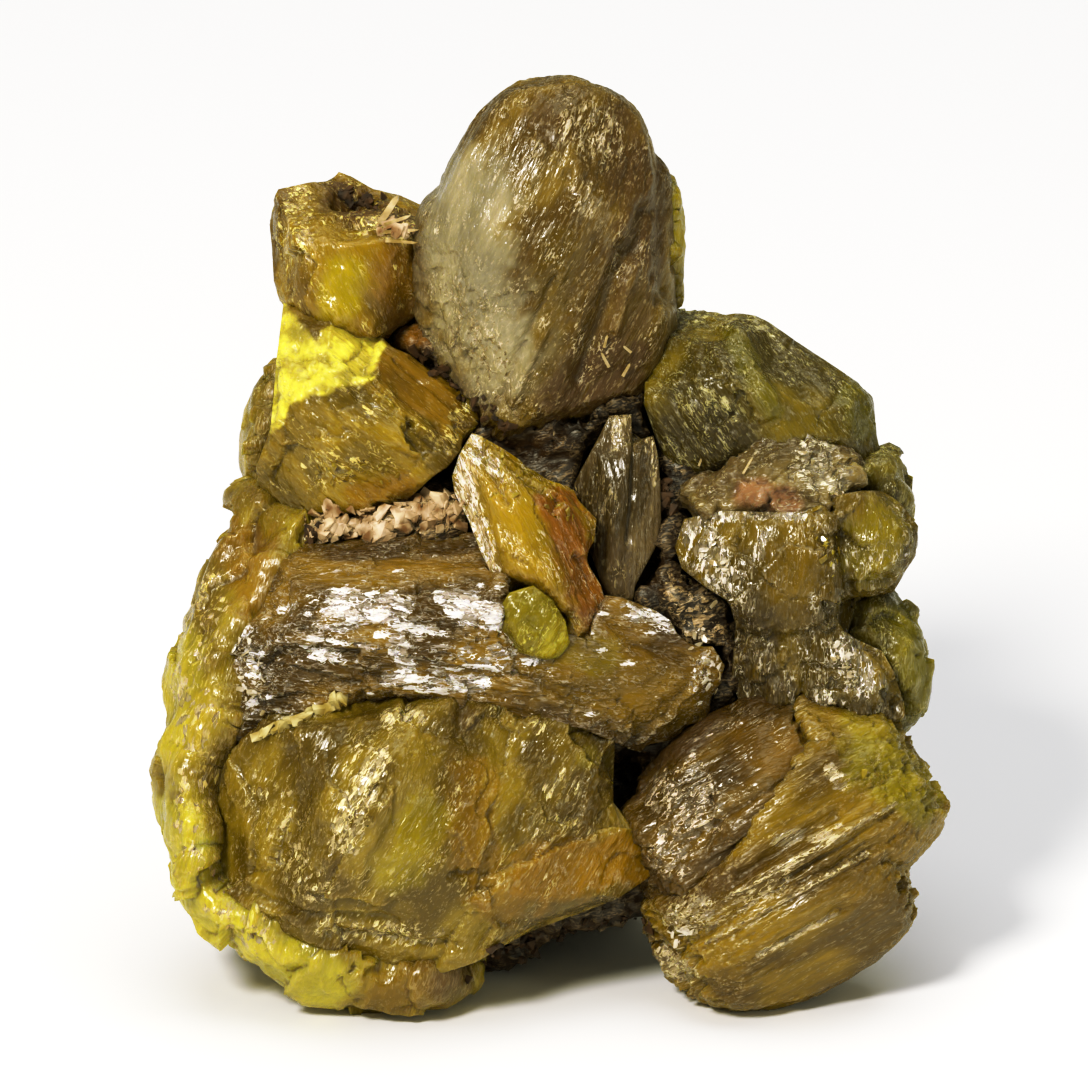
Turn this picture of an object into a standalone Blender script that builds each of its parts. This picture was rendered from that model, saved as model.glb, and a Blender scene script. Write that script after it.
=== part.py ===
# A hand specimen of pyromorphite: stout olive, mustard and brown crystals grown together over a
# little brown rock. Every crystal that can be told apart is its own solid, and the rock is one more.
#
# The cluster is drawn upright in millimetres, facing -Y: x runs to the right, y away from the
# viewer and z up the show face. The whole face is then leant back, and stands on the plane z = 0.

import math

import bmesh
import bpy
import numpy as np
from mathutils import Matrix, Vector
from mathutils.geometry import delaunay_2d_cdt

for old in list(bpy.data.objects):
    bpy.data.objects.remove(old)

# Driving dimensions
MM = 0.001
LEAN = math.radians(20)      # how far the show face leans back from upright
GAP = 0.3                    # mm kept between crystals that touch
FLOOR_RISE = -0.45           # mm, height of the ground at y = 0 on the leant face
CENTRE = (0, -9.75)          # mm, moves the middle of the footprint onto the origin
SHARP = math.radians(40)     # an edge steeper than this stays crisp
EDGE = 0.9                   # mm, how round a crystal's rim is
ROW = 0.866                  # honeycomb rows stand this far apart, as a share of the pitch
BROW = 0.35                  # the row of points by the rim, as a share of the pitch
BACK_PITCH = 1.5             # the points of a crystal's back are this much wider apart
STEPS = 12                   # points worked out between two corners of a drawn outline
PASSES = 150                 # rounds of evening out that bring a swell to rest
ROOM_CORNER = 1.5            # a sharp corner of a room stands out no further than this many gaps
CRYSTAL_FACES = 0.85         # the share of a crystal's faces kept after its cuts
ROCK_FACES = 0.38            # the share of the rock's faces kept, which has the most cuts

UP = Vector((0, -math.sin(LEAN), math.cos(LEAN)))    # true upward, seen from the leant face
GROUND = Vector((0, 0, FLOOR_RISE))                  # a point of the ground on the leant face


# ---- shapes ---------------------------------------------------------------------------------

def smooth_loop(corners, count):
    # evenly spaced points on a closed curve that runs through the corners
    size = len(corners)
    fine = []
    for i in range(size):
        a, b, c, d = (Vector(corners[(i + k) % size]) for k in (-1, 0, 1, 2))
        for u in np.linspace(0, 1, STEPS, endpoint=False):
            bend = (2 * a - 5 * b + 4 * c - d) * u ** 2 + (3 * b - 3 * c + d - a) * u ** 3
            fine.append((2 * b + (c - a) * u + bend) / 2)
    line = np.array(fine + fine[:1])
    along = np.concatenate([[0], np.cumsum(np.hypot(*np.diff(line, axis=0).T))])
    wanted = np.linspace(0, along[-1], count, endpoint=False)
    return np.column_stack([np.interp(wanted, along, line[:, k]) for k in (0, 1)])


def make_object(name, bm):
    bmesh.ops.triangulate(bm, faces=bm.faces)
    bmesh.ops.recalc_face_normals(bm, faces=bm.faces)
    mesh = bpy.data.meshes.new(name)
    bm.to_mesh(mesh)
    bm.free()
    body = bpy.data.objects.new(name, mesh)
    bpy.context.scene.collection.objects.link(body)
    return body


def distances(spots, loop):
    # from each spot to the nearest side of a closed outline
    ends = np.roll(loop, -1, axis=0) - loop
    start = spots[:, None, :] - loop[None, :, :]
    share = np.clip(np.sum(start * ends, axis=2) / np.sum(ends ** 2, axis=1), 0, 1)
    return np.min(np.linalg.norm(start - share[:, :, None] * ends, axis=2), axis=1)


def within(spots, loop):
    following = np.roll(loop, -1, axis=0)
    spans = (loop[:, 1] > spots[:, None, 1]) != (following[:, 1] > spots[:, None, 1])
    slope = (following[:, 0] - loop[:, 0]) / (following[:, 1] - loop[:, 1] + 1e-9)
    crossed = spots[:, None, 0] < loop[:, 0] + slope * (spots[:, None, 1] - loop[:, 1])
    return np.sum(spans & crossed, axis=1) % 2 == 1


def spots_inside(loop, pitch, brow, angle):
    # a honeycomb of spots within a closed outline, its rows along the grain, and a row by the rim
    centre = loop.mean(axis=0)
    size = math.ceil(np.abs(loop - centre).max() * 1.5 / pitch)
    across, along = (ROW * pitch * math.sin(angle), ROW * pitch * math.cos(angle)), pitch
    spots = np.array([(centre[0] + (i + k % 2 / 2) * along * math.cos(angle) - k * across[0],
                       centre[1] + (i + k % 2 / 2) * along * math.sin(angle) + k * across[1])
                      for k in range(-size, size + 1) for i in range(-size, size + 1)])
    spots = spots[within(spots, loop)]
    spots = spots[distances(spots, loop) > brow + 0.5 * pitch]
    along = np.roll(loop, -1, axis=0) - np.roll(loop, 1, axis=0)
    across = np.column_stack([-along[:, 1], along[:, 0]]) / np.linalg.norm(along, axis=1)[:, None]
    row = np.vstack([loop + across * brow, loop - across * brow])
    row = row[within(row, loop)]
    return np.vstack([row[distances(row, loop) > 0.7 * brow], spots])


def skin(loop, pitch, brow, angle):
    # triangles over a closed outline, and how full the swell is at each of their points: nothing on
    # the rim and one at the fullest, like a soap film blown up from behind
    rim = len(loop)
    sides = [(i, (i + 1) % rim) for i in range(rim)]
    spots = np.vstack([loop, spots_inside(loop, pitch, brow, angle)])
    while True:
        found = delaunay_2d_cdt([Vector(spot) for spot in spots], sides, [], 1, 1e-4)
        order = [origin[0] for origin in found[3]]
        faces = [[order[k] for k in face] for face in found[2]]
        flat = [face for face in faces if max(face) < rim]
        if not flat:
            break
        spots = np.vstack([spots] + [spots[face].mean(axis=0) for face in flat])
    linked = [[] for _ in spots]
    for a, b in found[1]:
        reach = 1 / np.linalg.norm(spots[order[a]] - spots[order[b]])
        linked[order[a]].append((order[b], reach))
        linked[order[b]].append((order[a], reach))
    swell = np.zeros(len(spots))
    for _ in range(PASSES):
        for i in range(rim, len(spots)):
            pull = sum(reach for k, reach in linked[i])
            swell[i] = (1 + sum(swell[k] * reach for k, reach in linked[i])) / pull
    return spots, faces, swell / swell.max()


def pebble(outline, middle, front, back, extra=0, tilt=(0, 0), full=0.5, points=26, pitch=1.8,
           lumps=(), grain=None, sharp=False):
    # A closed lump: its outline stands at the depth middle, tipped by tilt in x and z, and swells by
    # front toward the viewer and by back away from it, all of it extra larger when room is wanted.
    # A full below 0.5 gives flatter faces and steeper sides. lumps are (x, z, reach, height) swells
    # of the front, and grain is (degrees, rows, depth) of the ridges that its fibres make.
    loop = np.array(outline, float) if sharp else smooth_loop(outline, points)
    ax, az = loop.mean(axis=0)
    angle = math.radians(grain[0]) if grain else 0

    def relief(x, z):
        # how far the front lies back from the plain swell at this point
        rise = sum(h * math.exp(-((x - u) ** 2 + (z - w) ** 2) / r ** 2) for u, w, r, h in lumps)
        if grain is None:
            return -rise
        rows, deep = grain[1:]
        across = (z - az) * math.cos(angle) - (x - ax) * math.sin(angle)
        return deep * ((across / (ROW * pitch) + 0.25) % rows) / rows - rise

    bm = bmesh.new()
    rim = []
    for reach, spacing in ((-front, pitch), (back, BACK_PITCH * pitch)):
        spots, faces, swell = skin(loop, spacing, BROW * pitch, angle)
        inset = np.minimum(distances(spots, loop) / EDGE, 1)
        thick = np.maximum(swell ** full, EDGE * np.sqrt(inset * (2 - inset)) / abs(reach))
        verts = list(rim)
        for (x, z), amount in list(zip(spots, thick))[len(rim):]:
            y = middle + tilt[0] * (x - ax) + tilt[1] * (z - az)
            y += amount * (reach + (relief(x, z) if reach < 0 else 0))
            verts.append(bm.verts.new((x, y, z)))
        rim = verts[:len(loop)]
        for face in faces:
            bm.faces.new([verts[k] for k in face])
    bmesh.ops.recalc_face_normals(bm, faces=bm.faces)
    bm.normal_update()
    moves = [vert.normal * extra * min(vert.calc_shell_factor(), ROOM_CORNER) for vert in bm.verts]
    for vert, move in zip(bm.verts, moves):
        vert.co += move
    return make_object("pebble", bm)


def chip(body, point, outward):
    # knocks off all that lies beyond a plane and closes the fresh flat face
    bm = bmesh.new()
    bm.from_mesh(body.data)
    whole = list(bm.verts) + list(bm.edges) + list(bm.faces)
    bmesh.ops.bisect_plane(bm, geom=whole, dist=1e-5, plane_co=Vector(point),
                           plane_no=Vector(outward), clear_outer=True)
    rim = [edge for edge in bm.edges if edge.is_boundary]
    if rim:
        bmesh.ops.holes_fill(bm, edges=rim)
        bmesh.ops.triangulate(bm, faces=bm.faces)
        bmesh.ops.recalc_face_normals(bm, faces=bm.faces)
    bm.to_mesh(body.data)
    bm.free()


def combine(body, tool, operation):
    # body becomes body and tool joined, or body less tool; the tool is used up
    step = body.modifiers.new(operation.lower(), "BOOLEAN")
    step.operation = operation
    step.solver = "EXACT"
    step.object = tool
    shaped = body.evaluated_get(bpy.context.evaluated_depsgraph_get())
    fresh = bpy.data.meshes.new_from_object(shaped)
    body.modifiers.clear()
    body.data = fresh
    bpy.data.objects.remove(tool)
    if not fresh.polygons:
        raise ValueError(f"{body.name} vanished in a {operation}")


def grow(name, forms, chips=(), notches=(), extra=0):
    # One crystal: its forms joined, its chips knocked off, its notches cut. With some extra it is
    # the room that the crystal needs in its neighbours, which has no notches.
    body = pebble(extra=extra, **forms[0])
    body.name = name
    for form in forms[1:]:
        combine(body, pebble(extra=extra, **form), "UNION")
    for point, outward in chips:
        outward = Vector(outward).normalized()
        chip(body, Vector(point) + outward * extra, outward)
    if not extra:
        for form in notches:
            combine(body, pebble(**form), "DIFFERENCE")
    return body


def islands(bm):
    left = set(bm.verts)
    while left:
        found = [left.pop()]
        for vert in found:
            for edge in vert.link_edges:
                other = edge.other_vert(vert)
                if other in left:
                    left.remove(other)
                    found.append(other)
        yield found


def keep_main_piece(body):
    # drops the crumbs that a cut left loose
    bm = bmesh.new()
    bm.from_mesh(body.data)
    bmesh.ops.triangulate(bm, faces=bm.faces)
    pieces = sorted(islands(bm), key=len, reverse=True)
    for piece in pieces[1:]:
        bmesh.ops.delete(bm, geom=piece, context="VERTS")
    bm.to_mesh(body.data)
    bm.free()


def thin(body, share):
    # merges the least faces, slivers first, until this share of them is left
    step = body.modifiers.new("thin", "DECIMATE")
    step.ratio = share
    shaped = body.evaluated_get(bpy.context.evaluated_depsgraph_get())
    fresh = bpy.data.meshes.new_from_object(shaped)
    body.modifiers.clear()
    body.data = fresh


def corners(body):
    return np.array([vert.co[:] for vert in body.data.vertices])


def boxes_meet(one, two):
    one, two = corners(one), corners(two)
    return bool(np.all(one.min(axis=0) < two.max(axis=0)) and np.all(two.min(axis=0) < one.max(axis=0)))


# ---- the crystals, nearest to the viewer first -------------------------------------------------
# Each one gives its forms, the planes that broke it (a point and the outward side) and its notches.

def green_bead():
    outline = [(-2.2, 17.2), (-1.9, 18.3), (-0.9, 18.6), (0.1, 17.9), (0.7, 16.9), (0.7, 16),
               (0.2, 15.4), (-0.8, 15.2), (-1.7, 15.8)]
    ball = dict(outline=outline, middle=-0.9, front=1.3, back=2.2, full=0.5, points=14)
    return dict(forms=[ball])


def wedge_crystal():
    outline = [(-3.4, 24.7), (-2.6, 24.4), (-1.2, 23.4), (0.9, 22.4), (1.6, 21.4), (2, 20.8),
               (1.7, 19.6), (2.1, 18.3), (2.6, 17.2), (3.1, 16.2), (2.6, 15.4), (1.4, 15.2),
               (0.3, 16), (-0.8, 17.4), (-1.8, 18.5), (-2.9, 19.2), (-3.6, 20.8), (-3.9, 22),
               (-4.2, 22.9), (-3.9, 24)]
    wedge = dict(outline=outline, middle=0.9, front=2.5, back=2.6, tilt=(0.1, 0.12), full=0.33,
                 grain=(-60, 2, 0.3), sharp=True)
    right_rim = ((1.3, -0.9, 19.6), (0.86, -0.5, 0.1))
    left_face = ((-3.2, -0.7, 22.6), (-0.6, -0.8, 0.1))
    return dict(forms=[wedge], chips=[right_rim, left_face])


def middle_sheaf():
    sheaf = [(-11.7, 18.4), (-11.2, 19.5), (-10.2, 20), (-8, 20.3), (-5.5, 20.5), (-3, 20.3),
             (-1, 19.4), (0.5, 18), (2, 16.4), (3.4, 14.4), (3.5, 12.7), (2.5, 11.7), (0, 12.6),
             (-2, 13), (-4.5, 13.5), (-6.3, 13.7), (-8.5, 13.4), (-10, 12.6), (-12, 12),
             (-13.9, 11.6), (-13.5, 12.7), (-13.2, 13.4), (-13.3, 14.5), (-13.5, 15.3),
             (-12.9, 16.4), (-12.1, 17.3)]
    plate = [(2, 17.5), (3, 17.8), (4.5, 17.2), (5.1, 16.8), (5.4, 16.2), (6.1, 15.7), (6.9, 15.7),
             (7.4, 14.9), (7, 13.9), (6.8, 13), (5.7, 12.4), (5.2, 11.9), (3.6, 11.3), (2.2, 11.7),
             (0.4, 12.6), (-0.6, 14), (-0.2, 15.8), (0.6, 17)]
    ledge = [(-14.5, 14.2), (-11.6, 14.5), (-11.2, 18), (-14.5, 18)]
    fibres = dict(outline=sheaf, middle=1.2, front=3.6, back=4, tilt=(0.06, 0),
                  full=0.42, points=34, pitch=1.45, grain=(-7, 2, 0.4),
                  lumps=[(-6, 16.5, 3, 0.3), (-11, 14, 1.6, -0.4)])
    scallops = dict(outline=plate, middle=1.3, front=2, back=2.6, tilt=(0.1, 0.1),
                    full=0.3, sharp=True)
    step = dict(outline=ledge, middle=-3.2, front=2, back=2.6, full=0.1, sharp=True)
    top_face = ((-6, -1.9, 18.8), UP)
    return dict(forms=[fibres, scallops], chips=[top_face], notches=[step])


def lower_left_crystal():
    outline = [(-14, 11.7), (-12, 12.1), (-10.2, 12.7), (-8.5, 13.4), (-6, 13.8), (-4.3, 13.6),
               (-3, 13.1), (0, 12.6), (2, 12), (2.4, 11.5), (2.1, 10.7), (2.7, 10.1), (2.5, 9.2),
               (2.1, 8.6), (2.6, 8.1), (4.1, 8), (4.8, 7.2), (4.9, 6.4), (3.2, 5.2), (1.5, 4.4),
               (0, 4), (-1.5, 3.3), (-3, 2.5), (-4.6, 2), (-6.5, 2.2), (-9, 2.8), (-11.3, 3.8),
               (-12.9, 4.8), (-14, 5.7), (-14.4, 7.2), (-14.5, 9.5)]
    ridge = [(-5.8, 12, 1.8, 0.5), (-7, 10, 1.8, 0.6), (-8.3, 7.6, 1.8, 0.6), (-9.4, 5.6, 1.6, 0.3)]
    dip = (-1.2, 9.6, 2.4, -0.7)
    boulder = dict(outline=outline, middle=1.3, front=4.6, back=3.6,
                   tilt=(0.08, 0), full=0.45, points=36, pitch=1.45, lumps=ridge + [dip])
    under_tongue = ((0.6, -1.2, 5.2), (0.25, -0.75, -0.6))
    left_flank = ((-13.5, -1.4, 8), (-0.8, -0.6, 0.1))
    return dict(forms=[boulder], chips=[under_tongue, left_flank])


def lower_right_barrel_upper():
    outline = [(3.4, 8.8), (4.1, 9.8), (5.2, 11.1), (7, 12.4), (8.5, 13.1), (9.7, 13.2), (11.2, 12.1),
               (11.9, 11.3), (11.6, 10.5), (10.8, 9.8), (11.2, 8.6), (9.9, 7), (8, 6), (6.5, 5.2),
               (5, 4.6), (4.2, 5.6), (3.9, 7)]
    barrel = dict(outline=outline, middle=1.6, front=3.2, back=3, tilt=(-0.05, 0.1), full=0.42,
                  grain=(28, 2, 0.4), pitch=1.5)
    left_end = ((5.2, -0.6, 9), (-0.75, -0.62, 0.2))
    return dict(forms=[barrel], chips=[left_end])


def lower_right_barrel():
    outline = [(12, 13.8), (13.5, 13.3), (14.4, 13), (15.3, 12), (16.6, 9.9), (17, 9.1), (16.7, 8.2),
               (16, 7.3), (15.1, 6.5), (15, 5.9), (15.5, 4.9), (15.5, 4), (14.9, 3.3), (13.5, 2.1),
               (12, 1.2), (10.3, 0.6), (8.2, 0.2), (6.2, 0.7), (5.4, 1.4), (4.4, 2.2), (4.4, 3.1),
               (4, 3.8), (4.6, 5.4), (5.8, 8), (7.2, 10.5), (9.4, 12.8)]
    barrel = dict(outline=outline, middle=2.3, front=4.6, back=4.6, tilt=(0, 0.06),
                  points=34, grain=(29, 2, 0.6), pitch=1.35)
    left_end = ((5.6, -0.9, 2.8), (-0.74, -0.62, -0.25))
    return dict(forms=[barrel], chips=[left_end])


def right_block():
    block = [(5.7, 21.3), (7, 21.5), (9, 21.4), (12, 21.4), (12.8, 20.4), (13, 18.9), (12.6, 17.3),
             (11.5, 16.1), (9.6, 15.7), (8.3, 16.3), (7.7, 17.3), (6.8, 18), (6, 18.7), (5.4, 19.5),
             (5.5, 20.3)]
    bulb = [(12, 22.1), (13.3, 22.4), (14.6, 22.1), (15.4, 21.2), (15.7, 20.2), (15.4, 19.2),
            (14.6, 18.4), (13.3, 18), (12, 18.3), (11.5, 20)]
    leg = [(8.6, 16.8), (10.5, 17.3), (12.2, 17.5), (13, 16.2), (13.8, 16), (14.3, 15.2), (14.9, 14),
           (15.1, 12.8), (13.3, 12.4), (11.7, 12.6), (10.6, 13.1), (9.4, 12.8), (8.2, 13.2),
           (7.8, 14.2), (8, 15.6)]
    groove = [(10.3, 12), (11, 12), (11, 14.9), (10.5, 14.9)]
    forms = [
        dict(outline=block, middle=2.8, front=3.6, back=3.4, full=0.33, points=22,
             grain=(80, 2, 0.2)),
        dict(outline=bulb, middle=2.7, front=2.5, back=3, full=0.5, points=14),
        dict(outline=leg, middle=3, front=2.9, back=2.8, full=0.36, points=22,
             grain=(92, 1.8, 0.3))]
    top_face = ((8.5, -0.6, 21.9), (0, -0.2, 1))
    left_face = ((7, -0.2, 19), (-0.62, -0.75, -0.2))
    slot = dict(outline=groove, middle=0, front=1.2, back=1.5, full=0.36, sharp=True)
    return dict(forms=forms, chips=[top_face, left_face], notches=[slot])


def left_crystal():
    outline = [(-11.4, 30.3), (-10.7, 29.8), (-10, 29.3), (-8.9, 29.6), (-7, 28.5), (-5.7, 28.2),
               (-4.9, 27.8), (-3.9, 27), (-3.1, 26.3), (-3.1, 25.5), (-3.6, 24.4), (-4.3, 23.6),
               (-5, 23), (-5.9, 22.2), (-6.8, 21.7), (-8, 21.3), (-9, 21.3), (-10.7, 21),
               (-11.6, 21.4), (-12.6, 22.2), (-12.4, 23.4), (-12, 25), (-11.8, 27.5)]
    block = dict(outline=outline, middle=3.4, front=3.3, back=3.4, full=0.42,
                 grain=(-40, 2, 0.4), pitch=1.4, sharp=True)
    bright_face = ((-9.2, 1.2, 28.2), (-0.45, -0.6, 0.66))
    upper_face = ((-5.2, 1.2, 26.3), (0.6, -0.62, 0.5))
    return dict(forms=[block], chips=[bright_face, upper_face])


def top_barrel_crystal():
    outline = [(-4.8, 28.8), (-5.3, 30.2), (-5.45, 31.7), (-5.4, 33.1), (-5.0, 34.6), (-4.3, 36.1),
               (-3.6, 37.4), (-2.7, 38.7), (-1.5, 39.7), (-0.2, 40.1), (1.2, 39.9), (3.2, 39.1),
               (3.95, 38.2), (4.3, 37.2), (4.6, 36), (4.8, 34.3), (4.75, 32.5), (4.85, 30.8),
               (4.9, 29.3), (4.6, 28), (3.9, 26.7), (2.8, 25.7), (1.6, 25.1), (0.5, 24.6),
               (-0.6, 24.3), (-1.6, 25.4), (-3, 26.6), (-4.1, 27.7)]
    barrel = dict(outline=outline, middle=4.4, front=4.8, back=4.8,
                  tilt=(0.1, -0.18), full=0.48, points=30, grain=(64, 2, 0.5), pitch=1.35,
                  lumps=[(-2.8, 31.5, 2.4, 0.35), (2.7, 30, 1.6, -0.5)])
    return dict(forms=[barrel])


def upper_left_crystal():
    outline = [(-12.1, 33.8), (-12, 35.2), (-11.2, 36.2), (-9.2, 36.7), (-7, 36.3), (-5.4, 35.4),
               (-4.6, 34), (-4.5, 31.5), (-4.9, 29.8), (-6.6, 29.2), (-7.4, 28.3), (-9, 27.4),
               (-10.4, 27.8), (-11.3, 29.6), (-11.8, 31.2), (-11.9, 32.4)]
    pit = [(-9.6, 34.3), (-8.6, 35.6), (-7.4, 35.2), (-7.2, 34.2), (-8.4, 33.8)]
    stump = dict(outline=outline, middle=5.4, front=3.7, back=4, full=0.33, points=24,
                 grain=(75, 2, 0.3))
    top_face = ((-8.5, 2.1, 33.6), UP + Vector((0.03, 0, 0)))
    left_face = ((-11.6, 3.2, 33), (-0.8, -0.45, 0.35))
    hole = dict(outline=pit, middle=4.6, front=1.4, back=1.4, full=0.5, points=10)
    back_corner = ((-11, 7, 34), (-0.7, 0.7, 0.2))
    return dict(forms=[stump], chips=[top_face, left_face, back_corner], notches=[hole])


def grey_crust_crystal():
    outline = [(6.1, 22), (6.8, 23.4), (8.3, 24.3), (10, 24.4), (11.5, 24.4), (12.6, 23.6),
               (13.5, 22.6), (13.3, 21.6), (12, 21), (10, 20.7), (8, 20.8), (6.5, 21.2)]
    crust = dict(outline=outline, middle=3.8, front=3.1, back=3.6, tilt=(0, 0.2), full=0.45,
                 points=20, lumps=[(8.2, 22.8, 1.2, 0.4), (11.6, 22.9, 1.2, 0.4)])
    return dict(forms=[crust])


def right_dome():
    outline = [(5, 30.1), (6.2, 30.3), (7.5, 30.1), (8.8, 29.8), (10.3, 28.9), (11.5, 28.1),
               (12.4, 27.4), (13.4, 26.8), (13.9, 26.1), (13.95, 25), (14.1, 24), (14.3, 22.5),
               (12, 22), (8, 22.3), (5, 23.4), (4.1, 26), (4.2, 28.6)]
    dome = dict(outline=outline, middle=5.8, front=4.2, back=5, tilt=(0, -0.05),
                full=0.45, points=28, grain=(-55, 2, 0.35), pitch=1.5, lumps=[(8.6, 27.5, 1.3, 0.5)])
    return dict(forms=[dome], chips=[((8, 3.2, 29.1), UP)])


def top_right_crystal():
    outline = [(2.2, 29.5), (3.2, 28.2), (4.6, 28.4), (5.15, 29.8), (5.25, 31.5), (5.3, 33),
               (5.2, 34.6), (4.9, 35.7), (4.2, 36.1), (3, 35.2), (2.1, 33)]
    sliver = dict(outline=outline, middle=5.4, front=2.2, back=3.4, tilt=(0, -0.1), full=0.5,
                  points=18)
    return dict(forms=[sliver])


def upright_blade():
    outline = [(2.4, 25.5), (3.5, 25.6), (3.6, 24.4), (4.1, 24.7), (4.5, 24.6), (4.75, 22.6),
               (4.7, 21), (4.5, 19.8), (4, 18.6), (3.7, 17.4), (2.6, 17.2), (1.9, 18.5), (1.7, 20),
               (1.5, 21.6), (1.1, 22.9), (1.3, 24.2), (1.9, 24.4)]
    blade = dict(outline=outline, middle=2.9, front=1.4, back=2.2, full=0.36,
                 sharp=True, grain=(88, 2, 0.3), pitch=1.3)
    return dict(forms=[blade])


def left_back_crystal():
    outline = [(-12.9, 25.4), (-12.4, 26.5), (-11.5, 27.6), (-9.5, 27.8), (-8, 25.5), (-8.4, 22.5),
               (-10.5, 21), (-12.4, 21.9), (-12.9, 23.6)]
    lobe = dict(outline=outline, middle=5.9, front=2.8, back=3, full=0.5, points=16)
    return dict(forms=[lobe])


def left_lobe():
    outline = [(-12.7, 22.3), (-13.4, 21.4), (-14.3, 20.6), (-15, 19), (-15.4, 17.6), (-15.9, 16.8),
               (-16.4, 14), (-16.8, 11.4), (-17.1, 10.3), (-16.8, 9.2), (-16.6, 7.6), (-16.1, 5.9),
               (-15.6, 4.5), (-14.5, 3.4), (-13, 2.2), (-12, 1.4), (-10.4, 1.1), (-9.5, 0.3), (-8, -0.1),
               (-6.6, 0), (-5, 0.6), (-3.9, 1.5), (-3, 4), (-2.6, 9), (-4, 15), (-7, 19.6), (-10, 22.2)]
    bumps = [(-14.8, 18, 1.5, 0.6), (-15.6, 13.6, 1.6, 0.6), (-15.9, 8.8, 1.6, 0.6),
             (-14.2, 4.8, 1.6, 0.6), (-11, 2.2, 1.5, 0.5), (-7.4, 1.4, 1.6, 0.5)]
    lobe = dict(outline=outline, middle=3.2, front=3.8, back=6.6, tilt=(0.05, 0.18),
                full=0.48, points=36, lumps=bumps)
    return dict(forms=[lobe])


def right_lobe():
    outline = [(12.2, 17.5), (13.3, 18), (14.7, 17.8), (15.5, 17.3), (16, 16.5), (16.15, 15.4),
               (16.1, 14.2), (15.8, 13.1), (15, 12.3), (13.5, 12.3), (12, 13.5), (11.5, 15.5)]
    lobe = dict(outline=outline, middle=5.1, front=2.5, back=3, full=0.5, points=18)
    return dict(forms=[lobe])


def right_back_lobe():
    outline = [(11.5, 23), (12.5, 24.4), (14, 24.1), (15, 23.2), (15.35, 22.2), (15.2, 21.2),
               (14, 20.5), (12.5, 20.6), (11.3, 21.5)]
    lobe = dict(outline=outline, middle=5.3, front=2.2, back=3, full=0.5, points=14)
    return dict(forms=[lobe])


# Four stout crystals close the far side.

def back_barrel_left():
    outline = [(-10.4, 18), (-10, 22), (-7.6, 25.6), (-4.4, 26), (-2.2, 23.4), (-2, 19), (-4, 15.6),
               (-8, 15)]
    barrel = dict(outline=outline, middle=9.4, front=3, back=3.6, tilt=(0, -0.15), points=18)
    broken_end = ((-6.5, 9, 24.6), (-0.3, 0.35, 1))
    return dict(forms=[barrel], chips=[broken_end])


def back_barrel_right():
    outline = [(0.6, 20), (1.8, 24.4), (5, 25.6), (8.4, 23.4), (10.4, 19.4), (9, 15), (5.2, 13.4),
               (1.8, 15.4)]
    barrel = dict(outline=outline, middle=9.8, front=3, back=3.6, tilt=(0, -0.1), points=18)
    broken_end = ((6, 10, 23.6), (0.35, 0.3, 1))
    return dict(forms=[barrel], chips=[broken_end])


def back_low_left():
    outline = [(-12.6, 9.4), (-11.8, 13.4), (-9, 15.2), (-5, 14.8), (-3.4, 11), (-5, 7.2), (-9, 6),
               (-11.8, 6.8)]
    lump = dict(outline=outline, middle=9.2, front=3, back=3.4, points=18)
    broken_end = ((-11, 10.5, 8), (-0.8, 0.5, -0.4))
    return dict(forms=[lump], chips=[broken_end])


def back_low_right():
    outline = [(2.6, 8.4), (3.6, 12), (7, 13.6), (11, 12.6), (13.2, 9.6), (11.8, 6.6), (7.4, 5.6),
               (3.6, 6.4)]
    lump = dict(outline=outline, middle=8, front=3, back=3.6, points=18)
    broken_end = ((11.2, 9, 8), (0.9, 0.4, -0.2))
    return dict(forms=[lump], chips=[broken_end])


def matrix():
    heart = [(-10.8, 18), (-9, 21.8), (-5, 23), (-1, 25), (2, 25.6), (5, 26), (8.4, 24), (11.4, 20.6),
             (12.8, 16), (12.2, 11), (9, 6.4), (4.9, 4.7), (3.6, 4), (2, 3.7), (0, 3), (-2, 2.2),
             (-4, 1.4), (-7.6, 3), (-10.4, 8), (-11.4, 13)]
    neck = [(-7.4, 27.6), (-6.6, 29.9), (-5, 30.1), (-2, 28.6), (2, 28.6), (5, 28.4), (6.4, 26),
            (6, 23.6), (0, 22.6), (-5, 23.6)]
    band = [(-10.7, 20.2), (-10.3, 21.3), (-8, 21.8), (-6, 22), (-4, 23), (-3, 21.6), (-4, 19.9),
            (-7, 19.4), (-9.6, 19.6)]
    rough = [(3.4, 17), (4.3, 19.2), (5.4, 19.6), (7, 18.6), (8.2, 17.4), (8.6, 15.6), (8, 13.6),
             (6.6, 12.6), (4.6, 13.6)]
    foot = [(-9.6, 2.4), (-9.4, 8), (-6.6, 13), (-1, 14), (3.6, 11), (4.4, 6.6), (3.4, 4.2),
            (0, 3.2), (-3, 2.2), (-7, 1.4)]
    hollow = [(1.9, 9.2), (2.1, 11.4), (3.6, 11.6), (4.6, 10.2), (4.4, 8.6), (3, 8)]
    forms = [
        dict(outline=heart, middle=5.6, front=3.2, back=5.6, full=0.36, points=30),
        dict(outline=neck, middle=6.4, front=3.4, back=3, points=18),
        dict(outline=band, middle=3.6, front=2.4, back=3, points=16),
        dict(outline=rough, middle=3.9, front=2.4, back=3, points=16),
        dict(outline=foot, middle=10.6, front=2.6, back=3.6, tilt=(0, -0.25), full=0.36, points=20)]
    cave = dict(outline=hollow, middle=2, front=3, back=3.2, full=0.36, points=12)
    return dict(forms=forms, notches=[cave])


# ---- colours: red, green, blue in linear light, then roughness ------------------------------------

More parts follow.
